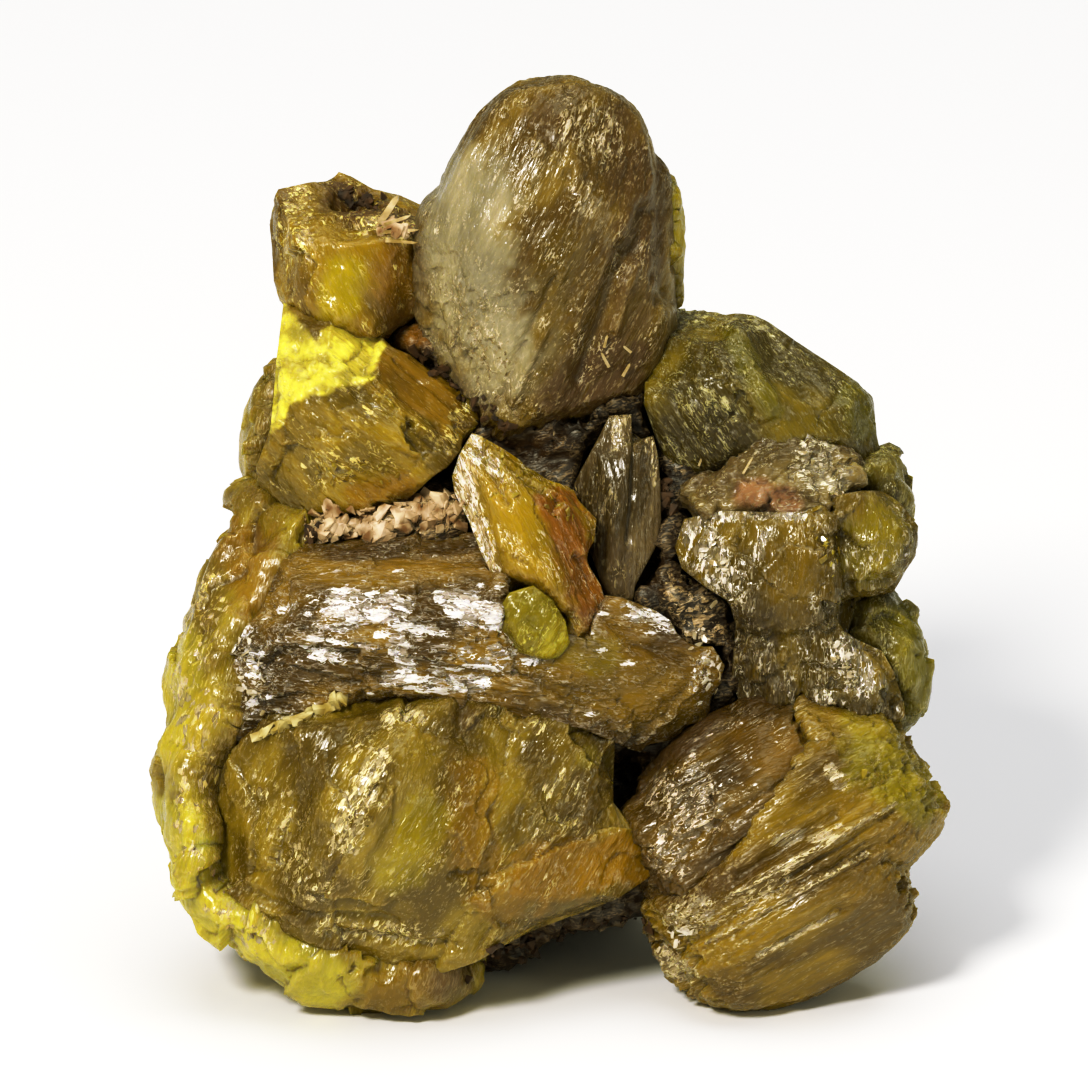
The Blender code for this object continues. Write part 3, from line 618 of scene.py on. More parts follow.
    # painted highlight strokes all over, most of them where it is flaky
    strokes = add(tree, "MapRange", {0: wisp, 1: 0.58, 2: 0.63}, **softly)
    flakier = add(tree, "Math", {0: patch, 1: 0.6, 2: 0.4}, **timesPlus)
    strokes = add(tree, "Math", {0: strokes, 1: flakier}, **times)
    strokes = add(tree, "Math", {0: strokes, 1: look.get("strokes", 0.45)}, **times)
    crustAndHighlight = add(tree, "Math", {0: ridge, 1: crustAndHighlightFlakes}, **larger)
    crustAndHighlight = add(tree, "Math", {0: crustAndHighlight, 1: strokes}, **larger)
    flakeShade = add(tree, "MapRange", {0: sides.outputs[1], 1: 0, 2: 1, 3: 0.5, 4: 1.15})
    crustAndHighlightColour = add(tree, "Mix", {0: 1, 6: linear(look["crustAndHighlight"]), 7: flakeShade}, **multiplied)
    colour = add(tree, "Mix", {0: crustAndHighlight, 6: colour, 7: crustAndHighlightColour}, **overlaid)
    # dark cracks round the flakes of a crust
    crack = add(tree, "MapRange", {0: flake.outputs["Distance"], 1: 0.56, 2: 0.7}, **softly)
    cracked = add(tree, "Math", {0: crustAndHighlightFlakes, 1: look.get("cracks", 0.6)}, **times)
    crack = add(tree, "Math", {0: crack, 1: cracked}, **times)
    colour = add(tree, "Mix", {0: crack, 6: colour, 7: linear(look["dirtAndShade"])}, **overlaid)

    # painted glints: a few flakes coloured lighter than the rest, as if they caught the light
    chosen = add(tree, "MapRange", {0: sides.outputs[1], 1: 0.93, 2: 0.97}, **softly)
    middle = add(tree, "MapRange", {0: flake.outputs["Distance"], 1: 0.45, 2: 0.25}, **softly)
    chosen = add(tree, "Math", {0: chosen, 1: middle}, **times)
    chosen = add(tree, "Math", {0: chosen, 1: look.get("glints", 0.6)}, **times)
    flakier = add(tree, "Math", {0: patch, 1: 0.15}, **plus)
    chosen = add(tree, "Math", {0: chosen, 1: flakier}, **times)
    # painted glints: tiny specks in the glint colour
    tiny = add(tree, "MapRange", {0: speckSides.outputs[0], 1: 0.94, 2: 0.98}, **softly)
    middle = add(tree, "MapRange", {0: speck.outputs["Distance"], 1: 0.4, 2: 0.15}, **softly)
    tiny = add(tree, "Math", {0: tiny, 1: middle}, **times)
    flakier = add(tree, "Math", {0: patch, 1: 0.7, 2: 0.3}, **timesPlus)
    tiny = add(tree, "Math", {0: tiny, 1: flakier}, **times)
    tiny = add(tree, "Math", {0: tiny, 1: look.get("glintSpecks", 0.6)}, **times)
    chosen = add(tree, "Math", {0: chosen, 1: tiny}, **larger)
    # more painted glints: the crust's lightest flakes, and the curly lines
    lit = look.get("lit", 0.8)
    lightest = add(tree, "MapRange", {0: sides.outputs[2], 1: lit, 2: lit + 0.12}, **softly)
    lightest = add(tree, "Math", {0: crustAndHighlightFlakes, 1: lightest}, **times)
    chosen = add(tree, "Math", {0: chosen, 1: lightest}, **larger)
    crustAndHighlightShare = add(tree, "Math", {0: crustAndHighlightFlakes, 1: channel["crustAndHighlight"]}, **larger)
    crustAndHighlightShare = add(tree, "MapRange", {0: crustAndHighlightShare, 1: 0, 2: 0.6, 3: 0, 4: 1})
    laced = add(tree, "Math", {0: patch, 1: look.get("lace", 0.45)}, **times)
    laced = add(tree, "Math", {0: crustAndHighlightShare, 1: laced}, **larger)
    laced = add(tree, "Math", {0: lace, 1: laced}, **times)
    chosen = add(tree, "Math", {0: chosen, 1: laced}, **larger)
    colour = add(tree, "Mix", {0: chosen, 6: colour, 7: linear(look.get("glint", "#d9cf9a"))}, **overlaid)
    tree.links.new(colour, shader.inputs["Base Color"])

    # glossy where it is clean, dull in the stain and painted shade, glassiest on the pale skin and
    # painted highlights
    gloss = 0.6 * look.get("gloss", 0.2)
    rough = add(tree, "MapRange", {0: wisp, 1: 0.3, 2: 0.7, 3: gloss, 4: gloss + 0.15})
    dull = add(tree, "Math", {0: stainAndShade, 1: 0.3}, **times)
    rough = add(tree, "Math", {0: rough, 1: dull}, **plus)
    tree.links.new(rough, shader.inputs["Roughness"])
    shine = add(tree, "MapRange", {0: crustAndHighlight, 1: 0, 2: 1, 3: 0.5, 4: 1})
    tree.links.new(shine, shader.inputs["Specular IOR Level"])

    # each flake tips its own way, under streaks, wisps and curly lines in relief
    height = add(tree, "Math", {0: facet, 1: 0.5}, **plus)
    height = add(tree, "Math", {0: height, 1: look.get("facets", 0.6)}, **times)
    for fine, rise in ((streak, look.get("striae", 0.5)), (wisp, 0.5), (lace, 0.4)):
        height = add(tree, "Math", {0: fine, 1: rise, 2: height}, operation="MULTIPLY_ADD")
    flakier = add(tree, "Math", {0: patch, 1: crustAndHighlightFlakes}, **larger)
    strength = add(tree, "MapRange", {0: flakier, 1: 0, 2: 1, 3: 0.45, 4: 1})
    bumpDepth = 0.13
    bump = add(tree, "Bump", {"Height": height, "Strength": strength, "Distance": bumpDepth / 1000})
    tree.links.new(bump, shader.inputs["Normal"])
    shader.inputs["IOR"].default_value = 1.5
    shader.inputs["Subsurface Weight"].default_value = look.get("depth", 0.3) + 0.05
    shader.inputs["Subsurface Radius"].default_value = (1, 0.72, 0.06)
    shader.inputs["Subsurface Scale"].default_value = 0.0014
    return material


skinTrees = []  # the finished skins, for laying loose bits on them


def crystal(name, look):
    mesh, places, paint = carve(name, look)
    sides = np.empty(len(mesh.loops), np.int32)
    mesh.loops.foreach_get("vertex_index", sides)
    skinTrees.append(BVHTree.FromPolygons(places.tolist(), sides.reshape(-1, 4).tolist()))
    material = crystalFinish(look["finish"], look)
    piece = finishMesh(name + "_skin", mesh, places, paint, material)
    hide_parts(name)
    print(name, len(mesh.polygons))
    return piece


# The crystals. Each has one dictionary, in millimetres and degrees on the show face:
# finish: the name of its material; seed: which chance pattern it gets
# angle, tip, splay: the run of its fibres, how far they turn away from the viewer, how they bow
# voxel, levels, melt: how fine its skin is and how softened; lumps: their width and height
# swell: how much thicker it is; join, near: how far it grows into its neighbours, and from where on
# cuts: flat broken faces as (turn, lift, depth); chips, chip: how many more by chance, how deep
# pulls: (x, z, reach) and the way that place is pulled; trim: outlines that it is cut back to
# relief: patterns along the fibres as (width, length, height, kind); smooth: how little is flaky
# calm: where the relief fades, as (path, reach, share)
# marks: single grooves, ribs and steps, as (kind, path, reach, depth)
# ends: fibres snapped off, as (which end, how much of it, how far, fibre width)
# paint: (channel, path, reach, amount); areas: (channel, outline, amount)
# deep to glint: its colours, of which the warm, the bright tint and painted light, the pale crust
# and painted highlight, and the dirt and painted shade come with their channel; glint is the
# colour of painted glints
# the rest: gloss and depth, flake size in millimetres and length, and how much of each effect

# tall barrel: silky olive, a painted grey sheen down its left, brown and pitted at its right
topBarrel = {
    "finish": "silkyOliveBarrel", "seed": 11, "angle": 63, "tip": 8, "splay": 0.0016, "voxel": 0.25,
    "melt": 14, "lumps": (4, 0.06), "smooth": 0.56,
    "cuts": [(200, 40, 0.5), (20, 50, 0.5), (-70, 20, 1.2), (100, 10, 0.3)],
    "pulls": [(-0.6, 26, 2, -0.2, 0, -1.6), (-2.6, 26.6, 1.6, 0.2, 0, -1)],
    "relief": [(0.9, 9, 0.08, "plank"), (0.45, 7, 0.03, "ridge"), (0.9, 0.72, 0.14, "pit")],
    "calm": [([(-2.6, 36), (-1.2, 33)], 2.6, 0.6),
        ([(-3.9, 34), (-3.7, 30.4), (-2.6, 27.6)], 2.4, 0.8)],
    "marks": [("groove", [(3.1, 32.6), (2.2, 29.5), (1.2, 27)], 0.35, 0.45),
        ("groove", [(4.0, 34.2), (3.2, 31.8)], 0.3, 0.5),
        ("rib", [(3.4, 31.8), (2.6, 29.2)], 0.35, 0.35),
        ("groove", [(0.2, 31.2), (-1.2, 28.4), (-2.2, 26)], 0.2, 0.2),
        ("rib", [(-0.2, 29.2), (-1.6, 26.2)], 0.2, 0.25),
        ("rib", [(1.2, 33.2), (0.1, 30.6)], 0.2, 0.12)],
    "ends": [(-1, 0.45, 0.4, 0.45)],
    # the bright paint down the left is a painted grey sheen
    "paint": [("tintAndPaintedLight", [(-3.6, 35), (-3.8, 31.4), (-2.6, 28)], 2.6, 0.72),
        ("crustAndHighlight", [(-3.2, 29), (-1.8, 26.4)], 1.4, 0.22),
        ("crustAndHighlight", [(-4.2, 31), (-3.6, 28)], 0.9, 0.16),
        ("crustAndHighlight", [(1.2, 38), (2.2, 37.2)], 1.3, 0.36), ("crustAndHighlight", [(1.6, 34.6)], 0.9, 0.34),
        ("dirtAndShade", [(3.2, 37.4), (4, 34), (3.6, 31), (2.6, 28), (2.4, 26.4)], 1.5, 0.62),
        ("dirtAndShade", [(-0.6, 38.4), (0.4, 37.4)], 0.9, 0.45),
        ("dirtAndShade", [(0.6, 25.6), (2.8, 27.6)], 1.8, 0.9),
        ("warm", [(0.4, 32.5), (-0.2, 29.5), (-0.6, 27)], 1.1, 0.45)],
    "deep": "#5c450e", "body": "#766020", "warm": "#6a5608", "tintAndPaintedLight": "#a09880", "crustAndHighlight": "#b09c74",
    "dirtAndShade": "#4a2e04", "glint": "#e0d0b0", "gloss": 0.24, "depth": 0.2, "ridgeBruiseAndHighlight": 0.45,
    "grain": 0.12, "strokes": 0.85, "lace": 0.6, "glints": 0.9, "glintSpecks": 0.8, "flake": 0.11,
    "long": 7,
}
crystal("top_barrel_crystal", topBarrel)

# yellow-green sliver that shows past the barrel's right side
topRight = {
    "finish": "waxyGreenSliver", "seed": 12, "angle": 80, "melt": 8, "lumps": (1.6, 0.18),
    "relief": [(0.6, 2, 0.07, "ridge")],
    "deep": "#6e5e00", "body": "#92820c", "warm": "#867000", "tintAndPaintedLight": "#b4aa10", "crustAndHighlight": "#b0a070",
    "dirtAndShade": "#4e3404", "depth": 0.4, "flake": 0.2,
}
crystal("top_right_crystal", topRight)

# mustard stump: flat pitted top, clear amber front at the right, flaky left side
upperLeft = {
    "finish": "resinMustard", "seed": 13, "angle": -62, "tip": 10, "melt": 8, "join": 0.45,
    "lumps": (2.2, 0.1),
    "cuts": [(62, 12, 1.2), (90, 35, 0.8), (180, 20, 0.5), (-20, 50, 0.9), (-140, 40, 0.8),
        (-132, 5, 1.3), (-48, 5, 0.8)],
    "pulls": [(-11, 34.8, 1.4, -0.2, 0, 0.7), (-9.1, 35.8, 0.6, 0, 0, 0.3),
        (-5.6, 30.2, 1.1, 0, 1.5, 0)],
    "trim": [
        [(-12, 33.8), (-11.9, 34.6), (-11.6, 35.2), (-10.3, 35.5), (-9.35, 35.6), (-9.05, 36),
         (-8.5, 35.8), (-7.6, 35.25), (-6.4, 35), (-5.2, 34.45), (-4.5, 33.8), (-4.5, 30.2),
         (-5.3, 29.3), (-6.2, 28.9), (-7, 28.8), (-8.3, 28.8), (-8.6, 28.3), (-9, 27.8),
         (-9.7, 28.1), (-10.3, 28.9), (-10.9, 29.3), (-11.4, 29.9), (-11.8, 31.3), (-11.9, 32.9)],
    ],
    "relief": [(2.2, 3, 0.28, "facet"), (0.6, 2.4, 0.06, "flake"), (0.35, 1.6, 0.03, "ridge"),
        (1.1, 0.75, 0.25, "pit")],
    "calm": [([(-7.4, 32.2), (-7, 30.6), (-8.4, 30.6)], 1.9, 0.95)],
    "marks": [("rib", [(-9.4, 36.2), (-8.9, 36.6)], 0.5, 0.3),
        ("groove", [(-9, 34.9), (-8.4, 34.4)], 0.35, 0.3),
        ("step", [(-7.8, 33.2), (-6.6, 33), (-5.4, 33.3)], 0.4, 0.22)],
    "paint": [("dirtAndShade", [(-8.9, 35), (-8.2, 34.3)], 0.8, 1.0),
        ("dirtAndShade", [(-7.4, 34.2), (-6, 33.8)], 0.6, 0.6),
        ("crustAndHighlight", [(-7.8, 33.6), (-5.4, 33.3)], 0.55, 0.6),
        ("crustAndHighlight", [(-10.9, 34.8), (-10.6, 32.8)], 0.9, 0.42),
        # painted light: the lit yellow of the crystal below runs up here
        ("tintAndPaintedLight", [(-9.2, 29.4), (-8.7, 31.4)], 1.1, 0.5),
        ("warm", [(-6.4, 31.8), (-6, 30.2)], 1.4, 0.8),
        ("dirtAndShade", [(-5.2, 30), (-6.6, 29.6)], 0.8, 0.7)],
    "deep": "#684e02", "body": "#866c04", "warm": "#7e5a00", "tintAndPaintedLight": "#a89800", "crustAndHighlight": "#b8a068",
    "dirtAndShade": "#4e3000", "glint": "#f0e092", "gloss": 0.2, "depth": 0.35, "ridgeBruiseAndHighlight": 0.3, "glints": 0.8,
    "flake": 0.2, "long": 3,
}
crystal("upper_left_crystal", upperLeft)

# block with slanting fibres, its upper left face painted bright sulphur yellow as light shining through
# it
left = {
    "finish": "resinOliveBlock", "seed": 14, "angle": -40, "tip": 5, "melt": 6, "join": 0.4,
    "lumps": (2.4, 0.06), "smooth": 0.55,
    "cuts": [(49, 5, 0.9), (215, 50, 1.1), (50, 50, 1.2), (-70, 25, 0.7), (120, 48, 0.8)],
    "pulls": [(-11, 28.6, 1.5, 0.2, 0, 1.5), (-9, 28.6, 1.6, 0, 0.2, 0.5),
        (-5.6, 23.8, 1.7, 1.3, 0.2, -1.5), (-3.2, 26, 1.2, 0.2, 0, -0.7)],
    "trim": [
        [(-11.35, 30.3), (-11.6, 28), (-11.87, 24.95), (-12.5, 23.3), (-12.4, 21.7), (-10.9, 21.2),
         (-10, 21.4), (-8, 21.3), (-6.4, 21.6), (-4.9, 22.95), (-4.35, 23.3), (-3.8, 24),
         (-3.65, 24.8), (-2.95, 25.1), (-3.2, 26), (-3.45, 26.5), (-4.2, 27), (-5.45, 27.9),
         (-6.7, 28.4), (-7.4, 29.1), (-8.3, 29.6), (-9.2, 30.2), (-10.3, 30.6)],
    ],
    "relief": [(2.4, 3.6, 0.3, "facet"), (0.7, 7, 0.1, "plank"), (0.3, 2.5, 0.03, "ridge"),
        (0.5, 1.5, 0.04, "flake")],
    "calm": [([(-6.8, 27.4), (-5.2, 26)], 1.2, 0.5)],
    "marks": [("groove", [(-6, 27.9), (-3.6, 26)], 0.08, 0.14),
        ("groove", [(-6.6, 27.8), (-4, 25.6)], 0.1, 0.18),
        ("step", [(-7.4, 28.3), (-7.8, 26.8), (-6.4, 25.2), (-5, 24.2)], 0.9, 0.35),
        ("step", [(-8, 26.4), (-6.4, 25.2), (-5.2, 24.4)], 0.6, 0.22),
        ("groove", [(-6.6, 26.2), (-4.6, 24.6)], 0.12, 0.12),
        ("groove", [(-10.8, 28.2), (-10.2, 27.2), (-9.4, 27.6)], 0.25, 0.2)],
    "ends": [(1, 0.5, 0.7, 0.4)],
    # painted light: the upper left face coloured bright yellow where light shines through it
    "areas": [
        ("tintAndPaintedLight", [(-11.5, 30.4), (-11.1, 30.1), (-10.5, 29.3), (-9.9, 28.7), (-8.9, 29.6),
            (-7, 28.4), (-7.6, 27.2), (-8.1, 26.8), (-9.9, 26.4), (-11, 26), (-11.4, 25),
            (-11.9, 24.8), (-11.9, 26.5), (-11.8, 28.2)], 1.0),
    ],
    "paint": [("warm", [(-6.2, 27.4), (-4.4, 25.8)], 1.5, 0.6),
        ("crustAndHighlight", [(-10, 23.2), (-8.6, 23.4)], 0.9, 0.4),
        ("crustAndHighlight", [(-4.4, 24.4), (-3.6, 26)], 0.5, 0.42),
        ("warm", [(-8, 22), (-6.4, 22.4)], 0.9, 0.7),
        ("crustAndHighlight", [(-7.8, 25.4), (-7, 26.2)], 0.6, 0.34)],
    "deep": "#6a5606", "body": "#8a7210", "warm": "#846002", "tintAndPaintedLight": "#f0e25c", "crustAndHighlight": "#a8955a",
    "dirtAndShade": "#4e3400", "glint": "#ecd88c", "gloss": 0.22, "depth": 0.35, "ridgeBruiseAndHighlight": 0.35,
    "strokes": 0.65, "glints": 0.7, "glintSpecks": 0.8, "flake": 0.17, "long": 3,
}
crystal("left_crystal", left)

leftBack = {
    "finish": "waxyOliveLobe", "seed": 15, "angle": 80, "melt": 12, "lumps": (1.8, 0.2),
    "relief": [(2, 2.6, 0.3, "facet"), (0.8, 2.5, 0.03, "ridge")],
    "deep": "#806c14", "body": "#94801c", "warm": "#886c08", "tintAndPaintedLight": "#a89a20", "crustAndHighlight": "#b8a070",
    "dirtAndShade": "#5a4410", "depth": 0.4, "glints": 0.3, "flake": 0.25,
}
crystal("left_back_crystal", leftBack)

# botryoidal mass: waxy and lumpy, painted yellowest toward its foot as light thrown up from the floor
leftLobe = {
    "finish": "waxyBotryoidal", "seed": 16, "angle": 75, "tip": 0, "voxel": 0.32, "melt": 14,
    "join": 1.0, "near": 2.4, "swell": 0.0, "lumps": (2, 0.25), "smooth": 0.66,
    "pulls": [(-13.4, 10, 1.6, 0, 1.2, 0), (-13, 6, 1.5, 0, 1.1, 0), (-10.6, 3.6, 1.4, 0, 0.9, 0),
        (-7, 2.9, 1.3, 0, 0.9, 0)],
    "relief": [(2.2, 2.8, 0.4, "facet"), (0.9, 1.3, 0.05, "flake"), (0.5, 0.9, 0.03, "ridge")],
    # painted light: a yellow glow toward the foot and a highlight up the left edge
    "paint": [("tintAndPaintedLight", [(-16, 8), (-15.2, 5), (-13, 3.2), (-10, 1.6)], 2.0, 0.85),
        ("tintAndPaintedLight", [(-16.3, 12), (-15.6, 15.5)], 1.3, 0.5),
        ("warm", [(-13, 20), (-12.2, 18)], 1.6, 0.85),
        ("crustAndHighlight", [(-14.6, 18.4), (-15.3, 14.6), (-14.8, 10.2), (-15.2, 7.6), (-12.4, 3.4)], 1.2, 0.24),
        ("warm", [(-7, 1.4), (-5, 1.6)], 1.4, 0.5), ("dirtAndShade", [(-4.6, 1.4), (-3.8, 2.2)], 0.8, 0.7)],
    "deep": "#776218", "body": "#968420", "warm": "#84640c", "tintAndPaintedLight": "#b4a832", "crustAndHighlight": "#c2b088",
    "dirtAndShade": "#583a08", "glint": "#dcc880", "gloss": 0.2, "depth": 0.5, "ridgeBruiseAndHighlight": 0.25, "hollowDarkening": 0.6,
    "seam": 0.35, "strokes": 0.35, "lace": 0.2, "glints": 0.3, "flake": 0.22, "long": 1.6,
    "facets": 0.2,
}
crystal("left_lobe", leftLobe)

# wide sheaf: pale flakes across its front painted white as a silvery highlight, brown silky top, a
# scalloped plate at its right
sheaf = {
    "finish": "silverySheaf", "seed": 17, "angle": -6, "tip": 4, "voxel": 0.24, "melt": 6,
    "join": 0.6, "lumps": (2.5, 0.06), "smooth": 0.42,
    "cuts": [(92, 30, 0.7), (-90, 40, 0.6), (180, 30, 0.7), (-5, 72, 1.1), (-50, 45, 1.0)],
    "trim": [
        [(-11.7, 18.6), (-11.2, 19.6), (-10.2, 20.2), (-8, 20.5), (-5.5, 20.7), (-3, 20.5),
         (-1, 19.6), (0.6, 18.6), (2, 17.9), (3, 17.8), (4.5, 17.2), (5.1, 16.8), (5.4, 16.2),
         (6.1, 15.7), (6.9, 15.7), (7.4, 14.9), (7.19, 14.08), (6.8, 13.5), (6.8, 12.96),
         (6.45, 12.47), (5.7, 12.35), (5.58, 12), (5.07, 11.7), (4.16, 11.54), (3.85, 11.2),
         (3.24, 11.4), (2.62, 11.7), (1.5, 12.2), (0.28, 12.47), (-2.8, 12.84), (-4.5, 13.1),
         (-6.3, 13.5), (-8.5, 13.3), (-10, 12.5), (-12, 11.9), (-13.9, 11.5), (-13.5, 12.7),
         (-13.2, 13.4), (-13.4, 14.5), (-13.6, 15.3), (-12.9, 16.5), (-12.1, 17.4)],
    ],
    "relief": [(2.2, 4.6, 0.34, "facet"), (0.7, 4.5, 0.16, "plank"), (0.42, 1.5, 0.1, "flake"),
        (0.26, 1.6, 0.03, "ridge")],
    "calm": [([(-10.6, 18), (-9.6, 18.6)], 1.2, 0.8),
        ([(2.4, 15.8), (4.4, 14.4), (5.4, 13.6)], 2.4, 0.75), ([(-9, 19.4), (-3, 19.2)], 0.5, 0.6)],
    "marks": [("step", [(-13.6, 15.4), (-12, 15.2), (-9, 14.4), (-6.5, 13.9)], 0.5, 0.3),
        ("groove", [(-12.8, 17), (-11.4, 17.2), (-11.2, 18.4)], 0.3, 0.4),
        ("groove", [(-13.4, 15.6), (-11.6, 15.4)], 0.2, 0.3),
        ("step", [(-8.6, 16), (-6, 15.4), (-2, 14.8), (1, 14)], 0.6, 0.25),
        ("rib", [(-4, 13.6), (-0.6, 12.9), (1.6, 12.4), (3.2, 11.6)], 0.14, 0.16),
        ("step", [(6.6, 15.6), (5.6, 13.8), (4.4, 12.6), (3.2, 11.6)], 0.8, 0.5),
        ("groove", [(1.8, 17.4), (3.6, 15.8), (5.6, 15.2)], 0.25, 0.3),
        ("rib", [(-2.2, 18.6), (-2, 15.8)], 0.3, 0.2)],
    # the pale paint across the front is mostly painted highlight, white flakes where the light catches it
    "paint": [("crustAndHighlight", [(-8.9, 17.5), (-6.4, 17.2)], 0.85, 0.85),
        ("crustAndHighlight", [(-4, 17.6), (-2.4, 17)], 0.9, 0.8),
        ("crustAndHighlight", [(-6.6, 16.4), (-6, 14.8)], 0.55, 0.75),
        ("crustAndHighlight", [(-6.8, 14.4), (-4.6, 14.1), (-2.8, 14.2)], 0.45, 0.85),
        ("crustAndHighlight", [(-10, 15.4), (-9.2, 15.3)], 0.45, 0.65),
        ("crustAndHighlight", [(-3.4, 15.4), (-1.8, 14.8)], 0.55, 0.6),
        ("crustAndHighlight", [(-11, 16.4), (-5, 16), (-1, 15.4)], 1.7, 0.2),
        ("crustAndHighlight", [(-12.6, 15.6), (-12.4, 13), (-11.4, 12.4)], 1.2, 0.26),
        ("crustAndHighlight", [(3.4, 17.2), (5, 16.6)], 0.5, 0.5), ("crustAndHighlight", [(6.4, 15.2), (6.4, 14)], 0.5, 0.4),
        ("dirtAndShade", [(-9, 19.9), (-5, 19.9), (-2.6, 19.4)], 0.6, 0.35),
        ("dirtAndShade", [(3.6, 16.8), (5.6, 15.6)], 0.9, 0.4),
        ("warm", [(0.6, 14.6), (3, 13.8), (5, 13.4)], 1.9, 0.85),
        ("tintAndPaintedLight", [(-0.4, 16.2), (2, 15.6)], 1.2, 0.7),
        ("dirtAndShade", [(-13, 16.6), (-12.6, 14.4)], 0.8, 0.35)],
    "deep": "#523a08", "body": "#7c6014", "warm": "#745a04", "tintAndPaintedLight": "#847214", "crustAndHighlight": "#b3a494",
    "dirtAndShade": "#442c08", "glint": "#f6f0e8", "gloss": 0.16, "depth": 0.15, "ridgeBruiseAndHighlight": 0.6,
    "strokes": 0.3, "lace": 0.16, "cracks": 0.9, "lit": 0.5, "glints": 0.9, "flake": 0.27,
    "long": 3, "facets": 0.8,
}
crystal("middle_sheaf", sheaf)

# big rounded crystal: fine flakes up its left painted pale as a highlight, gold in the middle, a
# clear amber tongue at its right, painted shadow under the sheaf's edge
lowerLeft = {
    "finish": "resinGoldBoulder", "seed": 18, "angle": 58, "tip": 6, "voxel": 0.24, "melt": 12,
    "join": 0.95, "near": 2.6, "lumps": (3.2, 0.1), "smooth": 0.56,
    "cuts": [(176, 48, 2.0), (0, 62, 1.3), (-92, 45, 0.9), (100, 30, 0.7), (-130, 25, 0.7)],
    "trim": [
        [(2.75, 11.67), (2.37, 11.5), (2.07, 10.6), (2.07, 10.19), (2.68, 9.94), (2.68, 9.1),
         (2, 8.7), (2, 8.03), (2.75, 8.09), (3.97, 7.9), (4.47, 7.35), (4.87, 6.8), (4.78, 6.3),
         (3.86, 5.69), (2.75, 4.95), (1.51, 4.45), (0.28, 4.02), (-0.95, 3.53), (-2.2, 2.9),
         (-3.05, 2.4), (-4.6, 1.9), (-6.5, 2.1), (-9, 2.7), (-11.3, 3.7), (-12.9, 4.7), (-14, 5.6),
         (-14.5, 7.2), (-14.6, 9.5), (-14, 11.7), (-12, 13), (-8.5, 14.2), (-4.3, 14.4), (0, 13.6),
         (2.6, 12.4)],
    ],
    "relief": [(3, 4.2, 0.42, "facet"), (0.55, 1.8, 0.06, "flake"), (0.3, 1.2, 0.03, "ridge"),
        (1.2, 0.8, 0.1, "pit")],
    "calm": [([(-5, 9.6), (-6.6, 6.4), (-4.4, 5)], 1.6, 0.85), ([(-1, 5.2), (4, 6.4)], 1.8, 0.8),
        ([(-3.4, 11)], 1.2, 0.5)],
    "marks": [("step", [(-1.8, 6.3), (0.5, 7.2), (2, 7.9)], 0.6, -0.3),
        ("groove", [(-13, 5.6), (-10, 4.2), (-6.6, 4)], 0.25, 0.35),
        ("groove", [(-9.4, 3.4), (-6, 3.2), (-4, 3.2)], 0.2, 0.3),
        ("rib", [(-5.5, 13), (-6.8, 10.6), (-8, 8), (-9.4, 5.6)], 0.9, 0.35),
        ("groove", [(-3.6, 13.4), (-3.8, 12)], 0.3, 0.35),
        ("step", [(-13.6, 11.6), (-12.4, 9), (-12.6, 6.4)], 0.5, -0.25)],
    # painted highlight: the pale up the left facet; painted shadow: the dark just under the sheaf's edge
    "paint": [("dirtAndShade", [(-0.4, 10.6), (1.4, 9)], 1.5, 0.28),
        ("crustAndHighlight", [(-7.6, 11), (-8, 9.4), (-8.6, 7.6)], 0.95, 0.6),
        ("crustAndHighlight", [(-6.8, 12.6), (-5.6, 12.8)], 0.5, 0.5),
        ("crustAndHighlight", [(-12, 9.6), (-11.4, 7.6), (-10, 5.6)], 1.1, 0.2),
        ("crustAndHighlight", [(-0.6, 12.2)], 0.4, 0.7), ("crustAndHighlight", [(-9.4, 4), (-5, 3.4)], 0.6, 0.46),
        ("crustAndHighlight", [(0.6, 9.8), (0, 8.4)], 1.2, 0.16),
        ("warm", [(-0.6, 6), (2, 6.6), (4.4, 6.8)], 1.6, 1.0),
        ("warm", [(-3.4, 10), (-3.2, 7), (-2, 5)], 1.4, 0.6),
        ("tintAndPaintedLight", [(-5.2, 8.6), (-6.4, 6.2)], 1.3, 0.55), ("dirtAndShade", [(-3.6, 12.6)], 0.7, 0.6),
        ("tintAndPaintedLight", [(1.6, 11)], 0.6, 0.5)],
    "deep": "#624e0a", "body": "#7e6a16", "warm": "#8a6800", "tintAndPaintedLight": "#948400", "crustAndHighlight": "#b8a678",
    "dirtAndShade": "#4c3402", "glint": "#e8d8a4", "gloss": 0.18, "depth": 0.35, "ridgeBruiseAndHighlight": 0.4, "seam": 0.35,
    "strokes": 0.7, "lace": 0.4, "cracks": 0.8, "glints": 0.85, "flake": 0.18, "long": 2.6,
    "facets": 0.6,
}
crystal("lower_left_crystal", lowerLeft)

